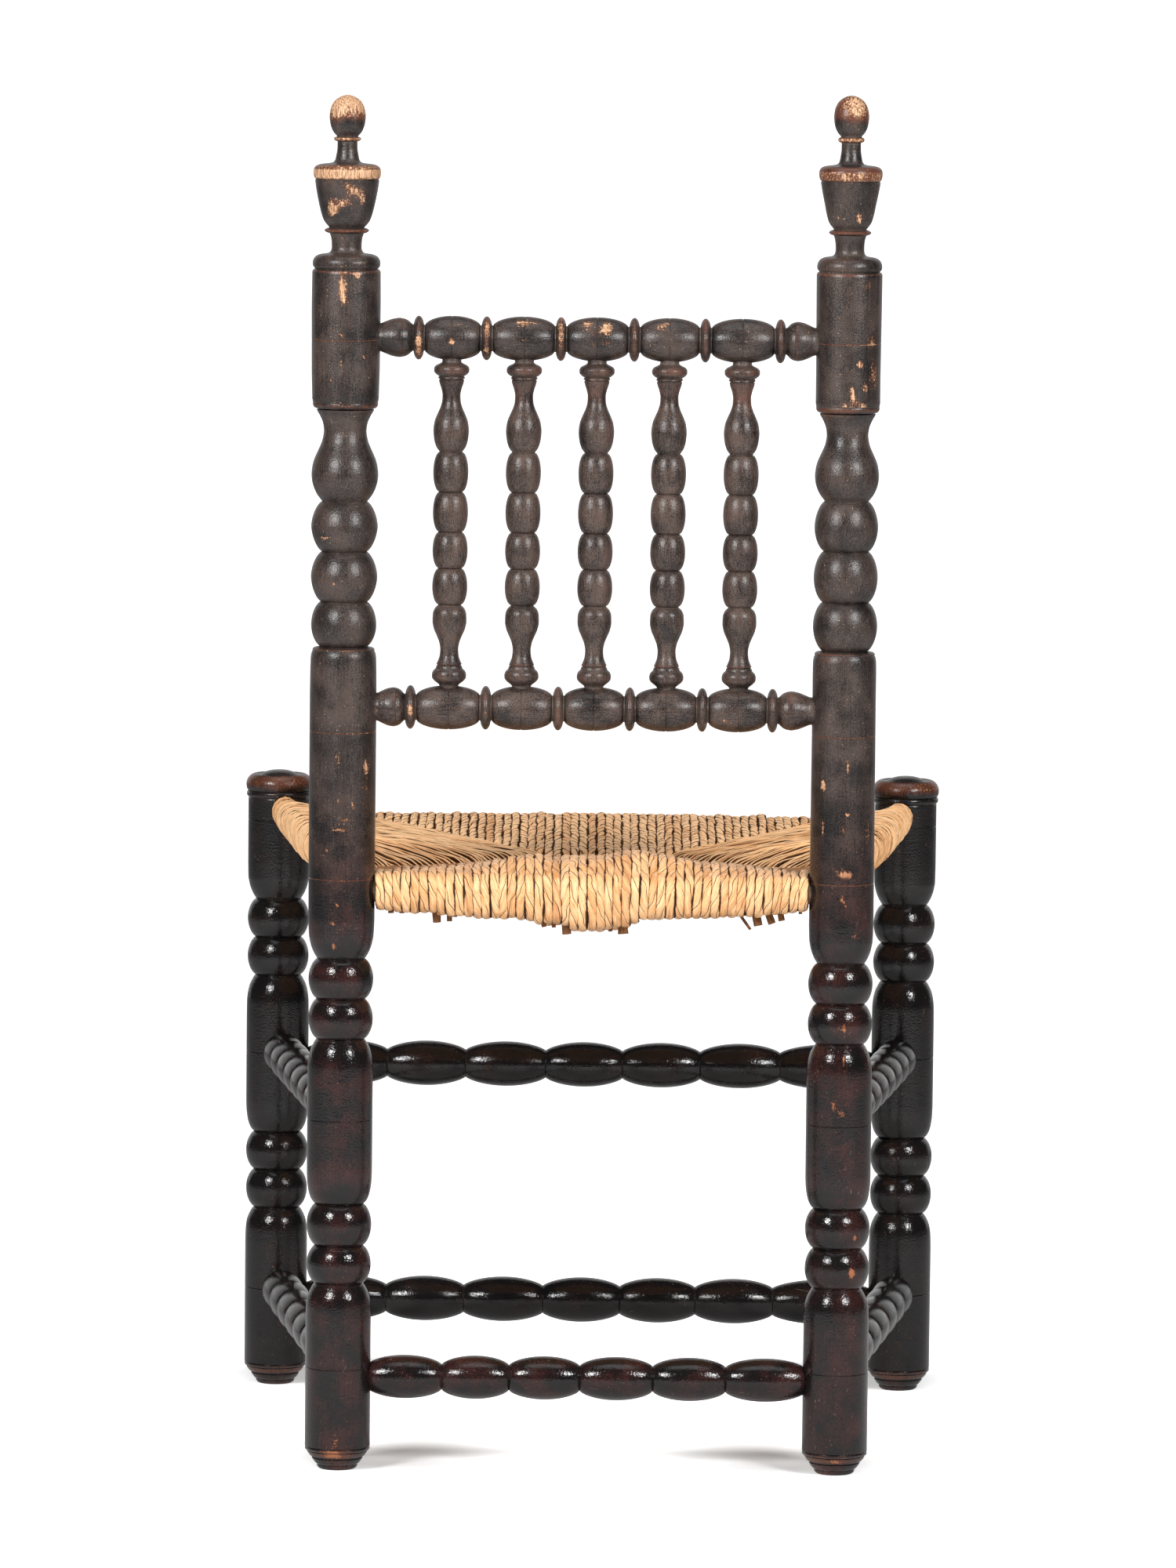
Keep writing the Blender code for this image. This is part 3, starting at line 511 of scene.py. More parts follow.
def turned(node, profile, origin, way, face, sides, patches=(), finish=painted):
    """Spin a profile round an axis through origin along way; face is the side angles start from."""
    origin, way, face = (np.array(vector, float) for vector in (origin, way, face))
    side = np.cross(way, face)
    if profile[0, 1] > 0:
        profile = np.vstack([profile[0] * (1, 0, 1), profile])
    if profile[-1, 1] > 0:
        profile = np.vstack([profile, profile[-1] * (1, 0, 1)])
    along, radius, wear = profile[1:-1].T
    angle = np.linspace(-math.pi, math.pi, sides, endpoint=False)
    ring = np.cos(angle)[:, None] * face + np.sin(angle)[:, None] * side
    body = origin + MM * (along[:, None, None] * way + radius[:, None, None] * ring)
    ends = origin + MM * profile[[0, -1], 0][:, None] * way
    points = np.vstack([ends[:1], body.reshape(-1, 3), ends[1:]])
    mesh = make_mesh(node + "_turned", points, tube_faces(len(along), sides))
    worn = np.repeat(wear[:, None], sides, axis=1)
    across = angle[None, :] * np.maximum(radius[:, None], LEAST_UNROLLED)
    for place, offset, half_along, half_across, amount in patches:
        oval = ((along[:, None] - place) / half_along) ** 2 + ((across - offset) / half_across) ** 2
        worn = worn + amount * np.exp(-oval)
    local = np.stack([np.cos(angle) * radius[:, None], np.sin(angle) * radius[:, None],
                      np.repeat(along[:, None], sides, axis=1)], -1).reshape(-1, 3)
    local = np.vstack([profile[:1, [1, 1, 0]], local, profile[-1:, [1, 1, 0]]]) * MM
    keep_value(mesh, "wear", np.concatenate([profile[:1, 2], worn.ravel(), profile[-1:, 2]]))
    for name, values in (("thin", profile[:, 2]), ("hollow", hollows(profile))):
        keep_value(mesh, name, np.concatenate([values[:1], np.repeat(values[1:-1], sides), values[-1:]]))
    keep_value(mesh, "grain", local + chance.uniform(0, GRAIN_SPREAD, 3))
    mesh.set_sharp_from_angle(angle=CORNER_ANGLE)
    return add_piece(node + "_turned", mesh, finish, (node,))


# %% [markdown]
# Hands and knocks have rubbed the posts through to the wood in places. A painted picture
# could carry them, but soft ovals added to the wear need no picture, and the ragged noise of
# the paint gives them their edges. Each row gives a height, the place round the post as seen
# from behind, half the height and half the width of the oval, and how rubbed it is.

# %% The four posts with their rubbed places
POST_SIDES = 56
UP = (0, 0, 1)
BACKWARD = (0, 1, 0)
REAR_RIGHT_PATCHES = (
    (1050.0, 0.0, 9.0, 34.0, 0.45), (1041.0, -9.0, 5.0, 4.0, 0.3), (997.0, 3.0, 3.6, 36.0, 0.40),
    (982.0, 6.0, 4.5, 7.0, 0.70), (986.5, 0.5, 2.6, 4.5, 0.45), (976.0, 13.0, 5.0, 3.6, 0.66),
    (973.5, 1.5, 3.5, 5.0, 0.50), (972.0, -8.5, 6.0, 6.5, 0.74), (966.5, -12.0, 6.0, 4.6, 0.60),
    (910.0, -2.5, 9.5, 3.2, 1.00), (899.5, -1.5, 4.0, 2.6, 0.70), (919.5, 8.0, 1.8, 5.0, 0.45),
    (917.0, 9.5, 2.4, 2.4, 0.8), (883.0, -12.5, 3.0, 2.2, 0.55), (876.0, -9.0, 2.4, 4.0, 0.5),
    (873.0, -3.0, 2.6, 2.6, 0.6), (857.0, 15.0, 2.8, 3.2, 0.62), (852.0, -3.5, 6.0, 1.6, 0.5),
    (839.0, -11.0, 3.2, 2.2, 0.55), (821.0, -3.0, 2.0, 8.0, 0.35), (927.0, 12.0, 3.0, 7.0, 0.35),
    (926.0, -4.0, 3.0, 8.0, 0.2), (425.0, 3.0, 2.0, 2.0, 0.55), (24.0, -1.0, 7.5, 3.0, 0.62),
    (12.6, -3.0, 2.0, 8.5, 0.55), (24.0, -16.0, 6.0, 3.0, 0.30), (23.0, 10.5, 4.0, 3.0, 0.36),
    (15.6, -4.0, 1.2, 9.0, 0.55), (718.0, -16.0, 2.0, 5.0, 0.55), (718.0, -4.0, 1.4, 14.0, 0.30),
    (683.0, -7.0, 2.0, 3.0, 0.45), (686.0, -9.0, 1.4, 4.0, 0.4), (648.0, -10.0, 4.0, 1.4, 0.5),
    (543.0, 21.0, 6.0, 2.0, 0.6), (632.0, 2.0, 1.5, 12.0, 0.25), (437.5, -3.0, 2.6, 2.2, 0.75),
    (423.6, -6.6, 2.2, 2.0, 0.85), (406.0, -5.0, 3.0, 2.0, 0.85), (552.0, -3.0, 10.0, 4.0, 0.42),
    (503.0, 2.0, 2.0, 9.0, 0.55), (515.0, 9.5, 5.0, 1.5, 0.80), (496.0, -2.0, 2.0, 8.0, 0.65),
    (518.0, -2.0, 3.0, 2.4, 0.62), (480.0, -12.0, 4.0, 2.0, 0.60), (468.0, 2.5, 8.0, 2.0, 0.45),
    (530.0, 20.0, 40.0, 5.0, 0.32),
)
REAR_LEFT_PATCHES = (
    (1049.0, 4.0, 9.0, 8.0, 0.28), (1046.0, -13.0, 9.0, 9.0, -0.12), (997.0, 0.0, 5.0, 60.0, -0.30),
    (996.5, -5.0, 3.0, 3.5, 0.28), (997.0, 8.0, 3.0, 4.0, 0.2), (965.0, 6.5, 4.5, 2.8, 0.75),
    (965.5, -9.5, 1.8, 2.0, 0.7), (960.5, -3.0, 1.6, 2.5, 0.5), (975.5, 8.0, 8.0, 4.0, 0.25),
    (915.0, 13.5, 5.0, 7.5, 0.44), (891.0, -7.8, 2.0, 2.2, 0.90), (880.0, 0.3, 1.4, 1.3, 1.2),
    (879.0, 6.0, 1.2, 1.2, 1.00), (872.0, 0.0, 1.6, 1.1, 1.00), (829.0, 7.0, 1.8, 2.4, 0.75),
    (855.0, 8.2, 3.2, 3.0, 1.00), (846.0, 21.5, 16.0, 5.5, 0.54), (872.0, 19.0, 5.0, 5.0, 0.54),
    (832.0, 2.6, 7.5, 2.2, 0.82), (837.0, 12.6, 3.4, 2.8, 0.85), (823.5, -3.0, 2.0, 4.0, 0.62),
    (824.0, 11.0, 2.4, 6.0, 0.70), (465.5, 2.0, 3.4, 6.5, 1.00), (459.5, 3.0, 1.2, 4.0, 0.60),
    (470.0, -6.6, 2.6, 2.0, 0.55), (158.5, 11.4, 4.6, 3.2, 1.0), (185.0, 13.7, 2.8, 2.6, 0.8),
    (346.5, 2.0, 3.2, 2.4, 0.85), (351.5, 1.6, 2.0, 1.3, 0.7), (322.5, 2.6, 6.0, 1.3, 0.66),
    (287.5, -4.5, 4.0, 2.2, 0.85), (281.0, 1.6, 3.2, 4.0, 0.72), (92.5, -18.0, 5.0, 1.8, 0.62),
    (58.5, -16.2, 8.0, 1.8, 0.55), (26.0, -3.0, 10.0, 8.0, 0.36), (12.0, 0.0, 1.8, 4.0, 0.5),
    (549.0, 3.0, 8.0, 1.4, 0.70), (556.0, -14.0, 4.0, 1.5, 0.5), (447.0, -1.0, 3.4, 1.5, 1.00),
    (441.5, 1.5, 3.4, 1.4, 0.95), (435.5, 4.0, 3.0, 1.1, 0.85), (418.0, 10.0, 3.0, 4.0, 0.55),
    (533.0, -17.0, 4.6, 2.8, 1.00), (512.0, 3.0, 2.2, 3.0, 0.75), (500.0, 1.0, 5.0, 1.6, 0.78),
    (500.0, -17.0, 9.0, 1.5, 0.66), (496.0, 21.0, 18.0, 3.0, 0.48),
)
FRONT_PATCHES = ((490.0, 14.0, 5.0, 12.0, 0.10), (484.0, 0.0, 2.5, 12.0, -0.15))
for post, profile, patches in (
        ("rear_post_right", by_hand(REAR_PROFILE, IMAGE_LEFT_HAND), REAR_RIGHT_PATCHES),
        ("rear_post_left", by_hand(REAR_PROFILE, IMAGE_RIGHT_HAND), REAR_LEFT_PATCHES),
        ("front_post_right", FRONT_PROFILE, FRONT_PATCHES),
        ("front_post_left", FRONT_PROFILE, FRONT_PATCHES)):
    made = turned(post, profile, POSTS[post], UP, BACKWARD, POST_SIDES, patches)
    print(made.name, len(made.data.polygons), "faces")

# %% [markdown]
# The two back rails are strings of sausages with a thin ring between each two and half a
# vase at each end. A line is scribed round every sausage where a spindle enters it.

# %% Crest rail and lower back rail
PITCH = 1000 * abs(SPINDLES["back_spindle_2"] - SPINDLES["back_spindle_1"])
POST_FACE = 25.4
HIDDEN_END = 5.0
SHOULDER_HALF = 4.9
RING_HALF = 3.9


def ring(centre, wear):
    """A thin rounded disc between two sausages."""
    return ball(centre + RING_HALF, centre - RING_HALF, 10.0, 16.8, 0.6, wear)


def rail_end(face, first):
    """Half a vase with a scribed line, from inside the post to just before the first ring."""
    shoulder = first + SHOULDER_HALF
    vase = face - shoulder

    def along(share, *rest):
        """A point at this share of the vase's length from the post."""
        return (face - share * vase, *rest)

    return [drawn([(face + HIDDEN_END, 10.4), (face, 10.6, 0.0), along(0.2, 12.4), along(0.42, 14.3),
                   along(0.62, 15.0, 0.15), along(0.68, 14.9, 0.2)]),
            drawn([along(0.68, 14.9, 0.3), along(0.70, 14.5, 0.2), along(0.72, 14.8, 0.3)]),
            drawn([along(0.72, 14.8, 0.15), along(0.86, 13.4), (shoulder, 10.4, 0.0)])]


def back_rail_profile(half_span, shifts, ring_wear):
    """Half a vase, six rings with a sausage between each two, and the vase reversed."""
    face = half_span - POST_FACE
    places = PITCH * np.arange(2.5, -3.0, -1.0) + shifts
    runs = rail_end(face, places[0])
    for place, after, spindle in zip(places, places[1:], PITCH * np.arange(2.0, -3.0, -1.0)):
        sausage = ball(place - SHOULDER_HALF, after + SHOULDER_HALF, 9.8, 16.9, 0.60, 0.08)
        runs += [ring(place, ring_wear),
                 drawn([(place - RING_HALF, 10.0, 0.0), (place - SHOULDER_HALF, 9.8, 0.0)]),
                 scribed(sausage, spindle),
                 drawn([(after + SHOULDER_HALF, 9.8, 0.0), (after + RING_HALF, 10.0, 0.0)])]
    runs.append(ring(places[-1], ring_wear))
    runs += [(run * (-1, 1, 1))[::-1] for run in rail_end(face, -places[-1])[::-1]]
    return joined(*runs)


REAR_HALF_SPAN = 1000 * abs(POSTS["rear_post_right"][0])
RAIL_SIDES = 44
CREST_PATCHES = (
    (107.0, 12.5, 9.0, 3.0, 0.42), (110.8, -2.0, 2.6, 2.6, 0.95), (57.0, 14.0, 8.0, 4.0, 0.62),
    (46.0, 14.5, 5.0, 3.0, 0.42), (55.5, 0.0, 2.2, 2.0, 0.50), (8.0, 14.0, 6.0, 4.5, 0.60),
    (-7.0, 10.0, 5.5, 7.0, 0.78), (3.5, 5.0, 8.0, 5.0, 0.25), (3.0, -4.0, 2.4, 1.8, 0.62),
    (-7.5, -3.0, 4.5, 3.0, 0.45), (1.0, -11.0, 7.0, 2.5, 0.25), (-48.0, 12.0, 6.0, 5.0, 0.55),
    (-59.0, -3.5, 2.2, 4.0, 0.42), (-54.0, 14.5, 3.0, 2.0, 0.4), (136.0, -2.0, 3.0, 3.5, 0.55),
    (136.0, -11.0, 3.0, 4.0, 0.35), (84.0, 9.0, 2.0, 5.0, 0.35), (84.0, -9.0, 3.0, 3.0, 0.30),
    (27.6, 6.0, 4.0, 14.0, 0.42), (-82.0, 3.0, 3.0, 6.0, 0.15), (151.0, 2.0, 3.0, 3.0, 0.25),
    (134.0, 1.0, 3.5, 20.0, 0.22), (82.8, 3.0, 3.5, 20.0, 0.22), (-27.8, 4.0, 3.5, 16.0, 0.16),
)
LOWER_PATCHES = (
    (139.6, -1.0, 2.6, 5.5, 0.75), (82.3, -2.0, 1.5, 2.0, 0.5), (27.0, -4.0, 1.8, 2.5, 0.5),
    (-2.0, -2.0, 10.0, 8.0, 0.20), (-100.0, -7.0, 4.0, 1.6, 0.55), (-64.0, 6.0, 4.0, 3.0, 0.35),
    (-154.0, -8.0, 4.0, 3.0, 0.30), (165.5, -2.0, 2.5, 8.0, 0.5),
)
CREST_SHIFTS = (-2.4, 1.2, 0.0, -0.6, 0.6, -1.2)
LOWER_SHIFTS = (1.6, -0.6, -0.6, 0.0, 0.0, 1.6)
for node, height, shifts, ring_wear, patches, finish in (
        ("crest_rail", CREST_HEIGHT, CREST_SHIFTS, 0.26, CREST_PATCHES, painted),
        ("lower_back_rail", LOWER_RAIL_HEIGHT, LOWER_SHIFTS, 0.18, LOWER_PATCHES, handled)):
    made = turned(node, back_rail_profile(REAR_HALF_SPAN, shifts, ring_wear), (0, REAR_Y, height), (1, 0, 0),
                  BACKWARD, RAIL_SIDES, patches, finish)
    print(made.name, len(made.data.polygons), "faces")

# %% [markdown]
# Five spindles stand between the back rails: a collar, a long vase, four barrels, a vase
# turned over and another collar.

# %% Spindles
RAIL_RADIUS = 16.8
SPINDLE_SIDES = 32
VASE_DEPTH = 70.0
VASE_HEIGHT = 62.0
BARREL_SHARES = (0.0, 0.262, 0.524, 0.762, 1.0)


def spindle_profile(gap):
    """Heights run down from gap to 0, the clear space between the two rails."""
    def hung(*rows):
        """A curve whose rows give depths under the upper rail."""
        return drawn([(gap - depth, *rest) for depth, *rest in rows])

    upper, lower = gap - VASE_DEPTH, VASE_HEIGHT
    edges = [upper + (lower - upper) * share for share in BARREL_SHARES]
    return joined(
        hung((-HIDDEN_END, 7.4), (0.0, 7.3, 0.0), (1.4, 7.4, 0.1), (2.6, 9.2, 0.1), (4.2, 12.2, 0.14),
             (6.4, 13.5, 0.22), (8.6, 13.4, 0.22), (10.6, 12.0, 0.14), (11.8, 10.4, 0.1)),
        hung((11.8, 10.4, 0.0), (12.3, 9.4, 0.0), (12.9, 10.1, 0.2), (13.9, 10.2, 0.2)),
        hung((13.9, 10.2, 0.1), (14.5, 9.0, 0.0), (15.2, 9.7, 0.1)),
        hung((15.2, 9.7, 0.25), (18.0, 9.0, 0.22), (22.0, 7.7, 0.24), (26.5, 6.9, 0.26), (31.0, 7.1, 0.22),
             (36.0, 8.4, 0.16), (41.0, 10.6, 0.1), (47.0, 12.8, 0.1), (53.5, 13.6, 0.1), (60.0, 13.0, 0.1),
             (66.0, 11.3), (VASE_DEPTH, 8.6, 0.0)),
        *[ball(high, low, 8.4, 13.4, 0.5, 0.10) for high, low in zip(edges, edges[1:])],
        drawn([(VASE_HEIGHT, 8.4, 0.0), (59.0, 11.4), (55.0, 12.8), (49.5, 13.0, 0.12), (43.5, 11.9),
               (38.0, 9.6), (33.0, 7.7), (28.0, 6.9), (23.0, 7.3), (18.5, 8.8, 0.15), (16.4, 9.8, 0.3)]),
        drawn([(16.4, 9.8, 0.1), (15.7, 8.9, 0.0), (15.0, 9.8, 0.1)]),
        drawn([(15.0, 9.8, 0.1), (13.4, 10.2, 0.1), (11.2, 12.3, 0.14), (8.4, 13.1, 0.18), (6.0, 12.9, 0.18),
               (3.6, 11.2, 0.14), (1.6, 8.6, 0.1), (0.0, 7.2, 0.0), (-HIDDEN_END, 7.0, 0.0)]))


CLEAR = 1000 * (CREST_HEIGHT - LOWER_RAIL_HEIGHT) - 2 * RAIL_RADIUS
for node, x in SPINDLES.items():
    made = turned(node, spindle_profile(CLEAR), (x, REAR_Y, LOWER_RAIL_HEIGHT + RAIL_RADIUS * MM), UP,
                  BACKWARD, SPINDLE_SIDES, (), handled)
print("five spindles of", len(made.data.polygons), "faces each")

# %% [markdown]
# The stretchers are strings of balls with a short neck where they enter the posts. The
# front pair is the fattest, the rear one has six balls and the side ones are slimmer.

# %% Stretchers
BALL_RUN_ON = 2.0


def stretcher_profile(half_span, grooves, crest, neck, fullness):
    """Balls between the grooves; the two end balls run on into the posts."""
    face = half_span - POST_FACE
    edges = [face + BALL_RUN_ON, *grooves, -face - BALL_RUN_ON]
    return joined(
        drawn([(face + HIDDEN_END, neck), (edges[0], neck, 0.0)]),
        *[ball(upper, lower, neck, crest, fullness) for upper, lower in zip(edges, edges[1:])],
        drawn([(edges[-1], neck, 0.0), (-face - HIDDEN_END, neck)]))


FRONT_HALF_SPAN = 1000 * abs(POSTS["front_post_right"][0])
UPPER_FRONT_GROOVES = (163.6, 100.3, 35.7, -26.4, -89.1, -153.7)
LOWER_FRONT_GROOVES = (163.2, 100.3, 36.2, -26.0, -87.0, -149.9)
REAR_GROOVES = (111.4, 59.6, 5.3, -50.8, -106.8)
REAR_STRETCHER_RISE = 0.0015
for node, half_span, y, rise, grooves, crest, neck, fullness in (
        ("front_stretcher_upper", FRONT_HALF_SPAN, FRONT_Y, 0.0, UPPER_FRONT_GROOVES, 18.1, 11.0, 0.76),
        ("front_stretcher_lower", FRONT_HALF_SPAN, FRONT_Y, 0.0, LOWER_FRONT_GROOVES, 18.1, 11.0, 0.76),
        ("rear_stretcher", REAR_HALF_SPAN, REAR_Y, REAR_STRETCHER_RISE, REAR_GROOVES, 16.7, 9.4, 0.66)):
    turned(node, stretcher_profile(half_span, grooves, crest, neck, fullness),
           (0, y, middle(node)[2] + rise), (1, 0, 0), BACKWARD, RAIL_SIDES)
for side_name, sign in (("left", -1), ("right", 1)):
    rear, front = POSTS["rear_post_" + side_name], POSTS["front_post_" + side_name]
    span = np.linalg.norm(rear - front)
    way = (rear - front) / span
    outward = np.array([way[1], -way[0], 0]) * sign
    half_span = 500 * span
    face = half_span - POST_FACE
    for level, count in (("upper", 8), ("lower", 7)):
        node = "side_stretcher_%s_%s" % (level, side_name)
        centre = (rear + front) / 2 + (0, 0, middle(node)[2])
        profile = stretcher_profile(half_span, np.linspace(face, -face, count + 1)[1:-1], 16.5, 10.3, 0.62)
        turned(node, profile, centre, way, outward, RAIL_SIDES)
print("seven stretchers turned")

# %% [markdown]
# The seat is rush: leaves twisted into cord and wound over one rail, under, and over the
# next, so that four fields meet along mitres and a short middle seam. Each cord is its own
# twisted tube here. It rises from the mitre, crosses its field, wraps the rail and runs back
# underneath. The level of the field is the same as on the CAD solid: from the rail it
# swells, then falls to the dished middle.

# %% The seat's levels
CORD_PITCH = 6.8
CORD_HALF_WIDTH = 4.05
CORD_HALF_HEIGHT = 2.5
ROLL_RADIUS = 13.0
CROSS_LEVEL = 1000 * middle("seat_rail_rear")[2]
SIDE_LEVEL = 1000 * middle("seat_rail_left")[2]
SEAM_ENDS = (34.0, 54.0)
SEAM_HALF_WIDTH = 5.0
HALF_DEPTH = 500 * (REAR_Y - FRONT_Y)
SHIFT_Y = 500 * (REAR_Y + FRONT_Y)
SEAT_DISH = 18.0
CENTRE_HALF = 15.0
TOP_SWELL = 10.5
UNDER_SWELL = 19.0
MIDDLE_LEVEL = (CROSS_LEVEL + SIDE_LEVEL) / 2 - SEAT_DISH
LEVEL_STEP = 0.02
INWARD_CURVE = drawn([(0.0, 0.0), (0.08, 0.62), (0.17, 1.0), (0.33, 0.95), (0.56, 0.55), (0.80, 0.18),
                      (1.0, 0.0)], LEVEL_STEP)
ROLL_SAG = 0.80
UNDER_CURVE = drawn([(0.0, ROLL_SAG), (0.10, 0.96), (0.17, 1.0), (0.33, 0.92), (0.56, 0.55), (0.80, 0.18),
                     (1.0, 0.0)], LEVEL_STEP)
SWELLS = {
    "rear": (((-0.90, 0.20), (-0.78, 0.30), (-0.63, 0.42), (-0.47, 0.62), (-0.44, 0.90), (-0.34, 1.15),
              (-0.25, 1.34), (-0.16, 1.26), (-0.10, 1.00), (0.0, 0.86), (0.10, 0.78), (0.19, 0.80),
              (0.28, 1.00), (0.35, 0.98), (0.41, 0.70), (0.44, 0.52), (0.53, 0.28), (0.64, 0.20),
              (0.86, 0.0)),
             ((-1.0, 0.05), (-0.86, 0.19), (-0.64, 0.40), (-0.36, 0.54), (-0.22, 0.56), (-0.16, 0.95),
              (-0.06, 1.06), (0.09, 1.12), (0.12, 0.80), (0.20, 0.84), (0.30, 0.62), (0.45, 0.60),
              (0.64, 0.42), (0.75, 0.40), (0.86, 0.28), (1.0, 0.08))),
    "front": (((-1.0, 0.20), (-0.86, 0.62), (-0.64, 0.74), (0.0, 0.86), (0.64, 0.76), (0.86, 0.66),
               (1.0, 0.20)),
              ((-1.0, 0.0), (-0.64, 0.22), (-0.12, 0.90), (0.12, 0.90), (0.64, 0.22), (1.0, 0.0))),
    "side": (((-1.0, 0.0), (-0.64, 0.15), (0.0, 0.24), (0.64, 0.15), (1.0, 0.0)),
             ((-1.0, 0.0), (-0.64, 0.20), (0.0, 0.50), (0.64, 0.20), (1.0, 0.0))),
}
CORNER_START = 0.62
CORNER_LENGTH = 0.38
CORNER_POWER = 1.5
CORNER_SHARE = 0.22


def levels(field, turn, share):
    """Top and under levels at a turn along the rail (-1 to 1) and a share of the way in."""
    rail = CROSS_LEVEL
    if field == "side":
        corner = np.clip((np.abs(turn) - CORNER_START) / CORNER_LENGTH, 0, 1) ** CORNER_POWER
        corner = corner * np.clip(share / CORNER_SHARE, 0, 1)
        rail = SIDE_LEVEL + (CROSS_LEVEL - SIDE_LEVEL) * corner
    level = rail + (MIDDLE_LEVEL - rail) * share
    half = ROLL_RADIUS + (CENTRE_HALF - ROLL_RADIUS) * share
    lift, sag = (np.interp(share, curve[:, 0], curve[:, 1]) for curve in (INWARD_CURVE, UNDER_CURVE))
    top, under = (np.interp(turn, *np.array(table).T) for table in SWELLS[field])
    return level + half + TOP_SWELL * top * lift, level - half - UNDER_SWELL * under * sag


def round_rail(field, turn, level, radius, count):
    """Outward reach and height round a rail from top to bottom; the lower half hangs with the sag."""
    angle = np.linspace(math.pi / 2, -math.pi / 2, count)
    sag = ROLL_SAG * UNDER_SWELL * np.interp(turn, *np.array(SWELLS[field][1]).T)
    return radius * np.cos(angle), level + np.where(angle > 0, radius, radius + sag) * np.sin(angle)


def field_place(field, x, y):
    """Turn and share of a point in plan, found from the straight lines that run in to the seam."""
    y = y - SHIFT_Y
    seam_end = np.where(x > 0, *SEAM_ENDS)
    if field != "side":
        half_rail = REAR_HALF_SPAN if field == "rear" else FRONT_HALF_SPAN
        share = (HALF_DEPTH - np.abs(y)) / (HALF_DEPTH - SEAM_HALF_WIDTH)
        return x / (half_rail - share * (half_rail - seam_end)), share
    share = np.zeros_like(y)
    for _ in range(12):
        turn = y / (HALF_DEPTH - share * (HALF_DEPTH - SEAM_HALF_WIDTH))
        rail_x = (REAR_HALF_SPAN + FRONT_HALF_SPAN) / 2 + turn * (REAR_HALF_SPAN - FRONT_HALF_SPAN) / 2
        share = np.clip((rail_x - np.abs(x)) / (rail_x - seam_end), 0, 1)
    return turn, share


print("seat centre", MIDDLE_LEVEL, "mm high")

# %% [markdown]
# A cord's path is laid in an upright plane: control points from the mitre out along the
# field, half way round the rail and back in underneath. Small seeded wanderings keep two
# neighbours from being twins. Its skin is three lobes that turn as they go, which is what
# three twisted leaves look like, and a vector along the lobes carries the fibre pattern.

# %% Paths and twisted skins
CORD_STEP = 2.6
CORD_SIDES = 12
NEAR_LOBE = 0.115
FAR_LOBE = 0.18
STRAW_LOBE = 0.10
NEAR_TWIST = 60.0
FAR_TWIST = 32.0
MIXED_HANDS = 110.0
STRAW_TWIST = 150.0
PATH_POINTS = 15
WRAP_POINTS = 9
DIVE = 5.0
CURVE_PART = 0.1
FEWEST_LENGTHS = 6
TWIST_WANDER = (0.25, 30.0)
WIDTH_WANDER = (0.06, 34.0)
FIBRE_RADIUS = 3.0
FIBRE_STRETCH = 0.10
FIBRE_SPREAD = 4000


def cord_path(field, rail_point, inward, run):
    """Control points of one cord, in millimetres; it dives at the mitre."""
    inset = np.linspace(1.0, 0.0, PATH_POINTS)[:-1]
    distance = run * inset
    x, y = (rail_point[axis] + inward[axis] * distance for axis in (0, 1))
    turn, share = field_place(field, x, y)
    top, under = levels(field, np.clip(turn, -1, 1), share)
    dive = DIVE * np.exp(-((run - distance) / DIVE) ** 2)
    top = top - CORD_HALF_HEIGHT - dive
    under = under + CORD_HALF_HEIGHT + dive
    reach, height = round_rail(field, turn[-1], rail_point[2], ROLL_RADIUS - CORD_HALF_HEIGHT, WRAP_POINTS)
    wrap = np.stack([rail_point[0] - inward[0] * reach, rail_point[1] - inward[1] * reach, height], 1)
    return np.vstack([np.stack([x, y, top], 1), wrap, np.stack([x, y, under], 1)[::-1]])


def resampled(path, step):
    """Evenly spaced points on a smooth curve through the control points."""
    padded = np.vstack([2 * path[0] - path[1], path, 2 * path[-1] - path[-2]])
    fine = np.arange(0, len(path) - 1, CURVE_PART)
    span = fine.astype(int)
    part = (fine - span)[:, None]
    before, start, end, after = (padded[span + shift] for shift in range(4))
    curve = 0.5 * (2 * start + (end - before) * part + (2 * before - 5 * start + 4 * end - after) * part ** 2
                   + (3 * start - before - 3 * end + after) * part ** 3)
    curve = np.vstack([curve, path[-1]])
    reach = np.concatenate([[0], np.cumsum(np.linalg.norm(np.diff(curve, axis=0), axis=1))])
    spots = np.linspace(0, reach[-1], max(FEWEST_LENGTHS, int(reach[-1] / step)) + 1)
    return np.stack([np.interp(spots, reach, curve[:, axis]) for axis in range(3)], 1), spots


def wander(spots, size, wavelength):
    """A smooth seeded wandering along a cord: three sines of random phase."""
    phase = chance.uniform(0, 2 * math.pi, 3)
    waves = [np.sin(2 * math.pi * spots / (wavelength * factor) + start) / (index + 1)
             for index, (factor, start) in enumerate(zip((1.0, 0.53, 0.31), phase))]
    return size * sum(waves)


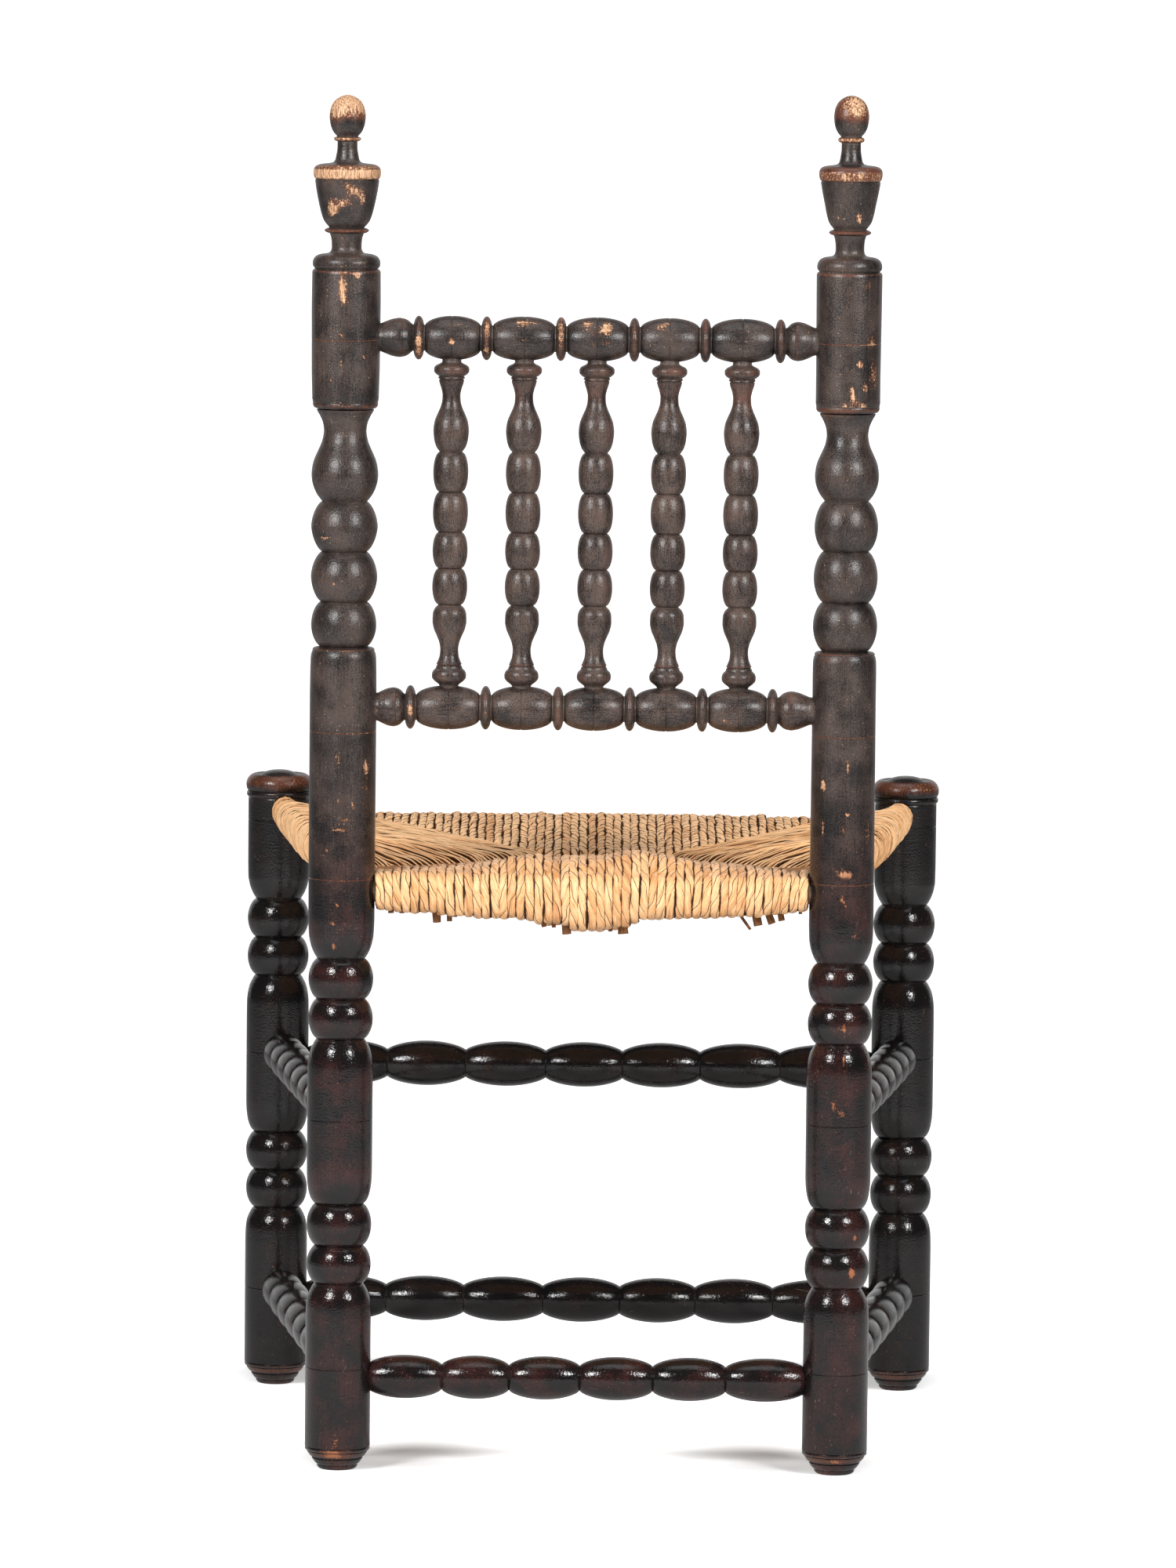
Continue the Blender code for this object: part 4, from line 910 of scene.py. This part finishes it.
def twisted(centre, spots, across, half_width, half_height, hand, twist, lobe, sides=CORD_SIDES):
    """Skin of one cord: radius 1 - lobe * (1 - |cos 1.5 psi|), psi turning with the length.

    Its strand vector holds cos psi, sin psi and how far out each vertex lies, 1 on the show side.
    """
    along = np.gradient(centre, axis=0)
    along /= np.linalg.norm(along, axis=1)[:, None]
    across = across - (along @ across)[:, None] * along
    across /= np.linalg.norm(across, axis=1)[:, None]
    up = np.cross(along, across)
    angle = -2 * math.pi * np.arange(sides) / sides
    turn = hand * 2 * math.pi * spots / (twist * chance.uniform(0.8, 1.25)) + chance.uniform(0, 6)
    turn = turn + wander(spots, *TWIST_WANDER)
    psi = angle[None, :] - turn[:, None]
    size = (1 - lobe * (1 - np.abs(np.cos(1.5 * psi)))) * (1 + wander(spots, *WIDTH_WANDER))[:, None]
    skin = (centre[:, None] + (half_width * size * np.cos(angle))[..., None] * across[:, None]
            + (half_height * size * np.sin(angle))[..., None] * up[:, None])
    fibre = np.stack([FIBRE_RADIUS * np.cos(psi), FIBRE_RADIUS * np.sin(psi),
                      np.repeat(FIBRE_STRETCH * spots[:, None], sides, 1)], -1)
    strand = np.stack([np.cos(psi), np.sin(psi), np.broadcast_to(np.sin(angle), psi.shape)], -1)
    return skin, fibre + chance.uniform(0, FIBRE_SPREAD, 3), strand


def bundle(name, tubes, material, replaced=()):
    """One piece from many closed tubes: each is (skin, fibre, strand, tone)."""
    points, fibres, strands, tones, quads, fans = [], [], [], [], [], []
    first = 1
    for skin, fibre, strand, tone in tubes:
        rings, sides = skin.shape[:2]
        for kept, part in ((points, skin), (fibres, fibre), (strands, strand)):
            kept += [part[0].mean(0)[None], part.reshape(-1, 3), part[-1].mean(0)[None]]
        tones.append(np.full(rings * sides + 2, tone))
        some_quads, some_fans = tube_faces(rings, sides, first)
        quads.append(some_quads)
        fans.append(some_fans)
        first += rings * sides + 2
    mesh = make_mesh(name, np.vstack(points) * MM, [np.vstack(quads), np.vstack(fans)])
    keep_value(mesh, "fibre", np.vstack(fibres) * MM)
    keep_value(mesh, "strand", np.vstack(strands))
    keep_value(mesh, "tone", np.concatenate(tones))
    print(name, len(tubes), "cords,", sum(len(block) for block in quads) * 2, "triangles")
    return add_piece(name, mesh, material, replaced)


# %% [markdown]
# Dry rush is straw coloured and silky along its fibres, with brown streaks, a few orange
# stains and browner leaves among the golden ones. Every cord has its own tone. The strand
# vector gives the angle psi round a cord: painted shade falls in the creases where
# |cos 1.5 psi| is near zero, and its third number paints shade on the sides that turn in
# towards the next cord.

# %% Rush finish
STRAW = (0.78, 0.385, 0.155)
PALE_STRAW = (0.97, 0.60, 0.32)
BROWN_STRAW = (0.52, 0.235, 0.10)
STAIN = (0.60, 0.22, 0.045)
# The colour that painted shade pulls towards; the darker fibre streaks and the reeds' own brown use it too.
SHADE_AND_STREAK_BROWN = (0.055, 0.019, 0.007)


def rush_finish(name, painted_shade_and_brown, crease_shade_low, crease_shade_high, side_shade_low, side_shade_high, shine):
    """Straw colour over leaves with painted shade; the arguments for creases and sides give the ends of its
    shade steps.
    """
    finish = Finish(name)
    fibre = finish.attribute("fibre", 1)
    tone = finish.attribute("tone", 2)
    strand = finish.attribute("strand", 1)
    cosine, sine, out = (finish.add("ShaderNodeSeparateXYZ", {}, {0: strand}, axis) for axis in range(3))
    psi = finish.add("ShaderNodeMath", {"operation": "ARCTAN2"}, {0: sine, 1: cosine})
    swing = finish.add("ShaderNodeMath", {"operation": "COSINE"}, {0: psi * 1.5})
    swing = finish.add("ShaderNodeMath", {"operation": "ABSOLUTE"}, {0: swing})
    lines = finish.noise(fibre, 1000.0, 4.0, 0.65)
    leaf = finish.noise(fibre, 380.0, 2.0)
    place = finish.add("ShaderNodeTexCoord", {}, {}, 3)
    blotch = finish.noise(place, 55.0, 4.0, 0.65)
    # Painted shade in the creases between the twisted lobes, broken up by leaf and blotch noise.
    crease_shade = finish.step(swing, crease_shade_high, crease_shade_low) * finish.step(leaf + (blotch - 0.5), 0.30, 0.46)
    # Painted shade on the sides of each cord that turn in towards its neighbour.
    side = finish.step(out + (lines - 0.5) * 0.4, side_shade_high, side_shade_low)
    colour = finish.mix(finish.step(tone + (leaf - 0.5) * 0.8, 0.10, 0.75), BROWN_STRAW, STRAW)
    colour = finish.mix(finish.step(lines * 0.65 + leaf * 0.25 + tone * 0.18, 0.48, 0.70), colour, PALE_STRAW)
    colour = finish.mix(finish.step(blotch + (leaf - 0.5) * 0.5, 0.57, 0.70) * 0.5, colour, STAIN)
    # All the painted shade, the darker fibre streaks, and each finish's own added share: painted shade on the
    # packing, brown on the reeds.
    shade_and_streaks = crease_shade * 0.95 + side * 0.95 + finish.step(lines, 0.38, 0.30) * 0.4 + painted_shade_and_brown
    shade_and_streaks = shade_and_streaks.clipped()
    colour = finish.mix(shade_and_streaks, colour, SHADE_AND_STREAK_BROWN)
    return finish.surface(colour, 0.42 + (lines - 0.5) * 0.4 + shade_and_streaks * 0.5, [(lines, 0.0003), (swing, 0.0006)],
                          Specular_IOR_Level=shine)


rush = rush_finish("rush", 0.0, 0.05, 0.18, 0.52, 0.68, 0.25)
far_rush = rush_finish("rush_far", 0.0, 0.14, 0.40, 0.54, 0.76, 0.08)
straw = rush_finish("rush_straw", 0.0, 0.02, 0.12, 0.12, 0.62, 0.08)
# Painted shade: the packing is pulled 0.35 of the way to the shade colour, standing for the shade it lies in
# under the cords.
stuffing = rush_finish("rush_stuffing", 0.35, 0.0, 0.01, -1.2, -1.1, 0.08)
# The reeds are pulled 0.62 of the way to the same colour for their own brown.
reed = rush_finish("rush_reed", 0.62, 0.0, 0.01, -1.2, -1.1, 0.08)
print("rush has", len(rush.node_tree.nodes), "nodes")

# %% [markdown]
# A weaver winds the seat cord by cord. A simulation could lay the cords too, but placing
# each in code keeps it close to the photograph and the same at every run. Each cord runs in
# until it meets the mitre of its field. Small seeded changes of place, width and tone stand
# for the weaver's hand, and most cords of each half are twisted the same way.

# %% Winding the four fields
LONGEST_RUN = 230
SHORTEST_RUN = 14.0
RUN_TRIES = 461
SEAM_REACHED = 0.995
POST_OVERLAP = 1.0
CORD_SWERVE = (0.35, 60.0)
CORD_RISE = (0.35, 50.0)
MIDDLE_LEAN = 2.5
MIDDLE_LEAN_REACH = 0.22
LONGEST_DROP = 45
CORD_WIDTHS = (0.96, 1.06)
CORD_HEIGHTS = (0.9, 1.2)


def mitre_run(field, rail_point, inward):
    """How far a cord runs in before its turn reaches a mitre or its share reaches the seam."""
    distance = np.linspace(0, LONGEST_RUN, RUN_TRIES)
    x, y = (rail_point[axis] + inward[axis] * distance for axis in (0, 1))
    turn, share = field_place(field, x, y)
    crossed = (np.sign(y - SHIFT_Y) != np.sign(y[0] - SHIFT_Y)) * (field != "side")
    over = (np.abs(turn) > 1) | (share > SEAM_REACHED) | crossed
    return max(SHORTEST_RUN, distance[np.argmax(over)] if over.any() else distance[-1])


def rail_places(rail_start, rail_end, clear, pitch):
    """The way along a rail, its length, and even places on it that keep clear of its ends."""
    length = np.linalg.norm(rail_end - rail_start)
    count = int(round((length - 2 * clear) / pitch)) + 1
    return (rail_end - rail_start) / length, length, np.linspace(clear, length - clear, count)


def wind(field, rail_start, rail_end, inward, level, twist, lobe, lean, tones):
    """Twisted cords side by side along a rail; lean pulls them to the middle as they go down."""
    inward = np.array(inward, float)
    clear = POST_FACE + CORD_HALF_WIDTH - POST_OVERLAP
    along, length, places = rail_places(rail_start, rail_end, clear, CORD_PITCH)
    tubes = []
    sway = 0.0
    for reach in places:
        spot = rail_start + along * (reach + chance.normal(0, 0.2))
        spot[2] = level
        path = cord_path(field, spot, inward, mitre_run(field, spot, inward))
        centre, spots = resampled(path, CORD_STEP)
        centre = centre + along * wander(spots, *CORD_SWERVE)[:, None]
        centre[:, 2] += wander(spots, *CORD_RISE) + chance.normal(0, 0.35)
        turn = spot[0] / REAR_HALF_SPAN
        sway = 0.6 * sway + chance.normal(0, 0.011)
        drop = np.clip(level + ROLL_RADIUS - centre[:, 2], 0, LONGEST_DROP)
        gathered = 1 + MIDDLE_LEAN * math.exp(-(turn / MIDDLE_LEAN_REACH) ** 2)
        centre[:, 0] -= (lean * turn * gathered + sway) * drop
        hand = -1 if reach + MIXED_HANDS * chance.uniform(-1, 1) < length / 2 else 1
        width = CORD_HALF_WIDTH * chance.uniform(*CORD_WIDTHS)
        height = CORD_HALF_HEIGHT * chance.uniform(*CORD_HEIGHTS)
        cord = twisted(centre, spots, along, width, height, hand, twist, lobe)
        tubes.append((*cord, chance.uniform(*tones)))
    return tubes


def plan(post):
    return POSTS[post] * 1000


# %% [markdown]
# On the two side fields the rush is hardly twisted, so single straws show, laid close and
# a little unruly. The same tube serves for them, thinner, with a slow twist, shallow lobes
# and more wandering.

# %% Straws of the side fields
STRAW_PITCH = 2.6
STRAW_HALF = 1.7
STRAW_STEP = 4.2
STRAW_SIDES = 7
FRONT_TIGHT = 4.5
FRONT_TIGHT_REACH = 90.0
CORNER_FAN = 8.0
CORNER_FAN_REACH = 24.0
FAN_LENGTH = 20.0
BOW_LENGTH = 120.0
STRAW_SWERVE = (1.1, 110.0)
STRAW_RISE = (0.6, 80.0)
STRAW_LAYERS = (-0.7, 0.6)
STRAW_WIDTHS = (0.75, 1.35)
STRAW_HEIGHTS = (0.7, 1.1)


def straws(rail_start, rail_end, inward):
    """Loose straws over a side rail; every other one lies deeper, and by the rear post they fan out."""
    inward = np.array(inward, float)
    along, _, places = rail_places(rail_start, rail_end, POST_FACE - STRAW_PITCH, STRAW_PITCH)
    tubes = []
    sway, clump = 0.0, 0.5
    for index, reach in enumerate(places):
        spot = rail_start + along * (reach + chance.normal(0, 0.3))
        spot[2] = SIDE_LEVEL
        spot = spot + inward * FRONT_TIGHT * math.exp((1000 * FRONT_Y - spot[1]) / FRONT_TIGHT_REACH)
        path = cord_path("side", spot, inward, mitre_run("side", spot, inward))
        centre, spots = resampled(path, STRAW_STEP)
        sway = 0.7 * sway + chance.normal(0, 0.8)
        bow = np.sin(math.pi * np.clip(spots / BOW_LENGTH, 0, 1))
        centre = centre + along * (wander(spots, *STRAW_SWERVE) + sway * bow)[:, None]
        centre[:, 2] += wander(spots, *STRAW_RISE) + STRAW_LAYERS[index % 2]
        fan = CORNER_FAN * math.exp((spot[1] + POST_FACE - 1000 * REAR_Y) / CORNER_FAN_REACH)
        centre[:, 1] += fan * np.clip((centre - spot) @ inward / FAN_LENGTH, 0, 1)
        clump = np.clip(0.6 * clump + 0.4 * chance.uniform(0.1, 1.3), 0, 1)
        width = STRAW_HALF * chance.uniform(*STRAW_WIDTHS)
        height = STRAW_HALF * chance.uniform(*STRAW_HEIGHTS)
        hand = chance.choice((-1, 1))
        stem = twisted(centre, spots, along, width, height, hand, STRAW_TWIST, STRAW_LOBE, STRAW_SIDES)
        tubes.append((*stem, clump * 1.7 - 0.1 + chance.uniform(-0.3, 0.3)))
    return tubes


rear_tubes = wind("rear", plan("rear_post_right"), plan("rear_post_left"), (0, -1, 0), CROSS_LEVEL,
                  NEAR_TWIST, NEAR_LOBE, 0.07, (0.45, 1.0))
front_tubes = wind("front", plan("front_post_left"), plan("front_post_right"), (0, 1, 0), CROSS_LEVEL,
                   FAR_TWIST, FAR_LOBE, 0.0, (0.6, 1.7))
left_tubes = straws(plan("rear_post_left"), plan("front_post_left"), (1, 0, 0))
right_tubes = straws(plan("front_post_right"), plan("rear_post_right"), (-1, 0, 0))
bundle("rush_rear_field", rear_tubes, rush, ("rush_seat",))
bundle("rush_front_field", front_tubes, far_rush)
bundle("rush_left_field", left_tubes, straw)
bundle("rush_right_field", right_tubes, straw)

# %% [markdown]
# Between the upper and lower cords the seat is packed with broken rush. It only shows in the
# gaps, so it is one closed pad just under the cords, with painted shade over its straw colour.

# %% The packing
PACKING_INSET = 5.2
PACKING_CLEAR = 27.5
PACKING_ROWS = 24
PACKING_POINTS = 14
PACKING_WRAP_POINTS = 7
OUTER_SHARE = 0.04


def packing_sections():
    """Sections that run out along the top, round the rail and back in underneath."""
    sections = []
    for field, start, end, level in (
            ("rear", "rear_post_right", "rear_post_left", CROSS_LEVEL),
            ("side", "rear_post_left", "front_post_left", SIDE_LEVEL),
            ("front", "front_post_left", "front_post_right", CROSS_LEVEL),
            ("side", "front_post_right", "rear_post_right", SIDE_LEVEL)):
        first, last = plan(start), plan(end)
        length = np.linalg.norm(last - first)
        along = (last - first) / length
        outward = np.array([along[1], -along[0], 0])
        outward = outward if outward @ (first + last) > 0 else -outward
        edge = PACKING_CLEAR / length
        for part in np.linspace(edge, 1 - edge, PACKING_ROWS):
            spot = first + (last - first) * part
            seam = np.array([np.clip(spot[0] / REAR_HALF_SPAN, -1, 1) * SEAM_ENDS[0 if spot[0] > 0 else 1],
                             np.clip((spot[1] - SHIFT_Y) / HALF_DEPTH, -1, 1) * SEAM_HALF_WIDTH + SHIFT_Y, 0])
            share = np.linspace(1, OUTER_SHARE, PACKING_POINTS)
            x, y = (spot[axis] + (seam[axis] - spot[axis]) * share for axis in (0, 1))
            turn = (2 * part - 1) * (1 if start.startswith("front") else -1)
            top, under = levels(field, np.full(PACKING_POINTS, turn), share)
            reach, height = round_rail(field, turn, level, ROLL_RADIUS - PACKING_INSET, PACKING_WRAP_POINTS)
            wrap = np.stack([spot[0] + outward[0] * reach, spot[1] + outward[1] * reach, height], 1)
            sections.append(np.vstack([np.stack([x, y, top - PACKING_INSET], 1), wrap,
                                       np.stack([x, y, under + PACKING_INSET], 1)[::-1]]))
    return np.array(sections)


sections = packing_sections()
rows, columns = sections.shape[:2]
grid = np.arange(rows * columns).reshape(rows, columns)
after = np.roll(grid, -1, axis=0)
walls = np.stack([grid[:, :-1], grid[:, 1:], after[:, 1:], after[:, :-1]], -1).reshape(-1, 4)
crowns = []
for column, centre_index, order in ((0, rows * columns, 1), (columns - 1, rows * columns + 1, -1)):
    fan = np.stack([np.full(rows, centre_index), grid[:, column], after[:, column]], -1)
    crowns.append(fan[:, ::order])
pad_points = np.vstack([sections.reshape(-1, 3), sections[:, :1].mean(0), sections[:, -1:].mean(0)]) * MM
pad_mesh = make_mesh("rush_packing", pad_points, [walls, np.vstack(crowns)])
keep_value(pad_mesh, "fibre", pad_points)
keep_value(pad_mesh, "tone", np.full(len(pad_points), 0.3))
keep_value(pad_mesh, "strand", np.tile((1.0, 0.0, 1.0), (len(pad_points), 1)))
add_piece("rush_packing", pad_mesh, stuffing)
print("packing of", len(walls), "faces")

# %% [markdown]
# The cut ends of the brown reeds used as packing stick out under the near roll. Each row
# gives where a reed leaves the roll, where it ends, how far it hangs and its half sizes.

# %% Cut reeds under the near roll
REED_ENDS = (
    (154.0, 153.4, 7.2, 2.4, 1.2), (145.0, 145.2, 7.2, 2.0, 1.2), (119.4, 118.2, 14.0, 3.2, 3.0),
    (109.2, 108.6, 13.0, 2.2, 1.8), (104.8, 104.0, 9.6, 1.4, 1.0), (40.6, 36.0, 16.6, 2.0, 1.2),
    (30.4, 28.6, 17.0, 1.6, 1.2), (21.6, 18.6, 22.0, 3.2, 2.4), (-13.0, -14.8, 19.6, 1.6, 1.2),
    (-22.6, -24.6, 21.4, 4.0, 1.2), (-106.0, -122.0, 17.0, 1.2, 0.9), (-124.0, -128.0, 14.0, 3.3, 1.0),
    (-132.0, -138.6, 12.4, 2.8, 1.0), (-142.8, -146.0, 10.0, 2.4, 1.1), (-159.4, -160.2, 4.6, 1.5, 1.0),
)
REED_STEP = 2.0
REED_INSET = 9.0


def reed_end(leaves, ends, hang, half_width, half_height):
    """A straight flattened stub from inside the roll to its cut end."""
    high, low = CROSS_LEVEL - 8.0, CROSS_LEVEL - ROLL_RADIUS - hang
    spots = np.linspace(0, high - low, max(4, int((high - low) / REED_STEP)))
    share = spots / spots[-1]
    centre = np.stack([leaves + (ends - leaves) * share, np.full(len(spots), 1000 * REAR_Y - REED_INSET),
                       high - spots], 1)
    return *twisted(centre, spots, np.array([1.0, 0, 0]), half_width, half_height, 0, 1.0, 0.0, 8), 0.1


bundle("rush_reed_ends", [reed_end(*row) for row in REED_ENDS], reed)

# %% [markdown]
# One slotted screw was driven into the cup of the finial on the image's left. It is a low
# dome, height DOME_HEIGHT * (1 - r^2), with a slot pressed across it.

# %% Slotted screw head
SCREW_RADIUS = 3.0
SCREW_HEIGHT = 974.0
SCREW_AXIS_REACH = 21.7
SCREW_ANGLE = math.radians(22)
SCREW_TILT = 0.22
HEAD_RINGS = 15
HEAD_SIDES = 48
DOME_HEIGHT = 0.9
SLOT_TURN = 0.9
SLOT_HALF = 0.45
SLOT_DEPTH = 0.55
SLOT_REACH = 0.98
SLOT_FLOOR = 0.35
HEAD_SUNK = 1.5
HEAD_WEAR = 0.42

reach = np.linspace(0, 1, HEAD_RINGS)[1:, None]
round_angle = np.linspace(0, 2 * math.pi, HEAD_SIDES, endpoint=False)[None, :]
across, upward = (SCREW_RADIUS * reach * wave(round_angle) for wave in (np.cos, np.sin))
tilted = across * math.cos(SLOT_TURN) + upward * math.sin(SLOT_TURN)
slot = SLOT_DEPTH * np.exp(-(tilted / SLOT_HALF) ** 4) * (reach < SLOT_REACH)
lift = DOME_HEIGHT * (1 - reach ** 2) - slot
outward = np.array((math.sin(SCREW_ANGLE), math.cos(SCREW_ANGLE), -SCREW_TILT))
sideways = np.array((math.cos(SCREW_ANGLE), -math.sin(SCREW_ANGLE), 0.0))
steep = np.array((0.0, SCREW_TILT, 1.0))
head = lift[..., None] * outward + across[..., None] * sideways + upward[..., None] * steep
rim = head[-1] - HEAD_SUNK * outward
points = np.vstack([outward[None] * SLOT_FLOOR, head.reshape(-1, 3), rim, -HEAD_SUNK * outward[None]])
centre = 1000 * POSTS["rear_post_right"] + SCREW_AXIS_REACH * outward * (1, 1, 0) + (0, 0, SCREW_HEIGHT)
screw_mesh = make_mesh("finial_screw", (points + centre) * MM, tube_faces(HEAD_RINGS, HEAD_SIDES))
keep_value(screw_mesh, "wear", np.full(len(points), HEAD_WEAR))
keep_value(screw_mesh, "thin", np.full(len(points), HEAD_WEAR))
keep_value(screw_mesh, "hollow",
           np.concatenate([[0.0], (lift < 0.2).ravel() * 0.5, np.zeros(HEAD_SIDES + 1)]))
keep_value(screw_mesh, "grain", (points + 77.0) * MM)
add_piece("finial_screw", screw_mesh, painted)
print("screw head of", len(screw_mesh.polygons), "faces")

# %% [markdown]
# The plain seat rails hardly show under the cords, so the CAD nodes stay and only get a
# finish of bare, unpainted wood with its grain along each rail.

# %% Bare wood for the hidden seat rails
def bare_wood(name):
    finish = Finish(name)
    place = finish.add("ShaderNodeTexCoord", {}, {}, 3)
    rings = finish.noise(finish.stretched(place, (0.15, 0.15, 1.0)), 260.0, 4.0)
    pores = finish.noise(finish.stretched(place, (0.08, 0.08, 1.0)), 1500.0, 2.0)
    colour = finish.mix(finish.step(rings, 0.35, 0.68), (0.30, 0.18, 0.09), (0.52, 0.37, 0.22))
    return finish.surface(colour, 0.6 + (pores - 0.5) * 0.3, [(pores, 0.0002)])


wood = bare_wood("bare_wood")
for node in ("seat_rail_front", "seat_rail_rear", "seat_rail_left", "seat_rail_right"):
    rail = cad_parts[node]
    for index in range(len(rail.data.materials)):
        rail.data.materials[index] = wood
print("seat rails finished")

# %% [markdown]
# The photograph was taken from behind at about shoulder height with a long lens, a little
# out of level. The old frame leans, so the camera's roll takes most of that lean.

# %% Camera
CAMERA_PLACE = (0.0, 7.705, 1.279)
CAMERA_PITCH = math.radians(5.698)
CAMERA_ROLL = math.radians(0.60)
FOCAL_LENGTH = 226.44
SENSOR = 36.0
CAMERA_SHIFT = -0.003
camera_data = bpy.data.cameras.new("photo_camera")
camera_data.lens = FOCAL_LENGTH
camera_data.sensor_width = SENSOR
camera_data.sensor_height = SENSOR
camera_data.sensor_fit = "VERTICAL"
camera_data.shift_x = CAMERA_SHIFT
camera_data.clip_end = 100.0
camera = bpy.data.objects.new("photo_camera", camera_data)
bpy.context.scene.collection.objects.link(camera)
camera.matrix_world = (
    Matrix.Translation(CAMERA_PLACE) @ Matrix.Rotation(math.pi, 4, "Z")
    @ Matrix.Rotation(math.pi / 2 - CAMERA_PITCH, 4, "X") @ Matrix.Rotation(CAMERA_ROLL, 4, "Z"))
bpy.context.scene.camera = camera
print("camera at", CAMERA_PLACE, "with a lens of", FOCAL_LENGTH, "mm")

# %% [markdown]
# A pale floor runs back into a curved backdrop, with a soft box to each side of the camera
# and a weak one overhead. The floor glows for the camera, least by the chair, so that it
# reads white; the glow paints out the chair's shadows that run outward from the feet and
# keeps those that run in and back.

# %% Floor and backdrop
HALF_STAGE = 9.0
STAGE_FRONT = 4.0
WALL_Y = -6.0
WALL_TOP = 7.0


def sheet_mesh(name, profile):
    """A strip: points of a profile in Y and Z carried straight along X."""
    profile = np.array(profile, float)
    width = np.linspace(-HALF_STAGE, HALF_STAGE, 9)
    across = np.repeat(width[:, None], len(profile), 1)
    points = np.stack([across, np.broadcast_to(profile[:, 0], across.shape),
                       np.broadcast_to(profile[:, 1], across.shape)], -1)
    rows = np.arange(across.size).reshape(across.shape)
    quads = np.stack([rows[:-1, :-1], rows[1:, :-1], rows[1:, 1:], rows[:-1, 1:]], -1).reshape(-1, 4)
    return make_mesh(name, points.reshape(-1, 3), [quads])


def ray_kinds(finish):
    """Shares that are 1 for camera rays and for mirrored or see-through rays."""
    camera_ray, mirrored, through = (
        finish.add("ShaderNodeLightPath", {}, {}, output) for output in (0, 3, 6))
    return camera_ray, (mirrored + through).clipped()


SHADE_NEAR = 0.030
SHADE_FAR = 0.125
SHADE_SHIFTS = (0.040, 0.050)


def studio_white(name, foot_glow, mirror_glow):
    """Matt white that glows for the camera, least beside the feet, and dimly in reflections.

    With |x| in place of x each pair of feet is one spot; the spot is moved in and back,
    and the glow grows with the distance from it, so it paints out the lamps' shadows that
    run outward from the feet and leaves the ones that run in and back.
    """
    finish = Finish(name)
    camera_ray, mirrored = ray_kinds(finish)
    place = finish.add("ShaderNodeTexCoord", {}, {}, 3)
    folded = finish.add("ShaderNodeVectorMath", {"operation": "ABSOLUTE"}, {0: place})
    folded_x = finish.add("ShaderNodeSeparateXYZ", {}, {0: folded}, 0)
    plain_y = finish.add("ShaderNodeSeparateXYZ", {}, {0: place}, 1)
    spot = finish.add("ShaderNodeCombineXYZ", {}, {0: folded_x, 1: plain_y})
    shade = 0.0
    for post in ("rear_post_right", "front_post_right"):
        centre = (POSTS[post][0] - SHADE_SHIFTS[0], POSTS[post][1] - SHADE_SHIFTS[1], 0)
        away = finish.add("ShaderNodeVectorMath", {"operation": "DISTANCE"}, {0: spot, 1: centre}, 1)
        shade = finish.step(away, SHADE_FAR, SHADE_NEAR) + shade
    strength = camera_ray * (1.0 - shade.clipped() * (1.0 - foot_glow)) + mirrored * mirror_glow
    shine = finish.add("ShaderNodeEmission", {}, {"Color": (1, 1, 1, 1), "Strength": strength})
    matt = finish.add("ShaderNodeBsdfDiffuse", {}, {"Color": (0.80, 0.80, 0.80, 1)})
    return finish.shown(finish.add("ShaderNodeAddShader", {}, {0: shine, 1: matt}))


bend = np.linspace(0, math.pi / 2, 12)
for part, profile, glows in (
        ("studio_floor", [(STAGE_FRONT, 0.0), (0.0, 0.0), (WALL_Y, 0.0)], (0.22, 0.05)),
        ("studio_wall", [*zip(WALL_Y - np.sin(bend), 1 - np.cos(bend)), (WALL_Y - 1, WALL_TOP)], (1.0, 0.6))):
    sheet = bpy.data.objects.new(part, sheet_mesh(part, profile))
    sheet.data.materials.append(studio_white(part, *glows))
    bpy.context.scene.collection.objects.link(sheet)
    print(part, len(sheet.data.polygons), "faces")

# %% [markdown]
# Two almost equal soft boxes give each ball its pair of highlights. Lamps behind modelled
# cloth could do it too, but square area lamps give soft light more simply. The air of the
# room is white to the camera and dim for everything else, so the ground stays white.

# %% Soft boxes and the air of the room
for name, place, target, size, power in (
        ("left_box", (1.9, 2.5, 2.0), (0, 0, 0.5), 0.8, 96),
        ("right_box", (-1.9, 2.5, 2.0), (0, 0, 0.5), 0.8, 88),
        ("top_box", (0.0, 0.4, 3.2), (0, 0, 0.4), 2.2, 27)):
    data = bpy.data.lights.new(name, "AREA")
    data.shape = "RECTANGLE"
    data.size = size
    data.size_y = size
    data.energy = power
    lamp = bpy.data.objects.new(name, data)
    bpy.context.scene.collection.objects.link(lamp)
    aim = Vector(target) - Vector(place)
    lamp.matrix_world = Matrix.Translation(place) @ aim.to_track_quat("-Z", "Y").to_matrix().to_4x4()
    print(name, power, "W")
AIR_STRENGTH = 0.06
world = bpy.data.worlds.new("studio_air")
bpy.context.scene.world = world
world.use_nodes = True
nodes, links = world.node_tree.nodes, world.node_tree.links
rays = nodes.new("ShaderNodeLightPath")
lift = nodes.new("ShaderNodeMapRange")
lift.inputs["To Min"].default_value = AIR_STRENGTH
lift.inputs["To Max"].default_value = 1.0
links.new(rays.outputs["Is Camera Ray"], lift.inputs["Value"])
links.new(lift.outputs["Result"], nodes["Background"].inputs["Strength"])
nodes["Background"].inputs["Color"].default_value = (1, 1, 1, 1)
bpy.context.scene.view_settings.view_transform = "Standard"
print("air strength", AIR_STRENGTH)
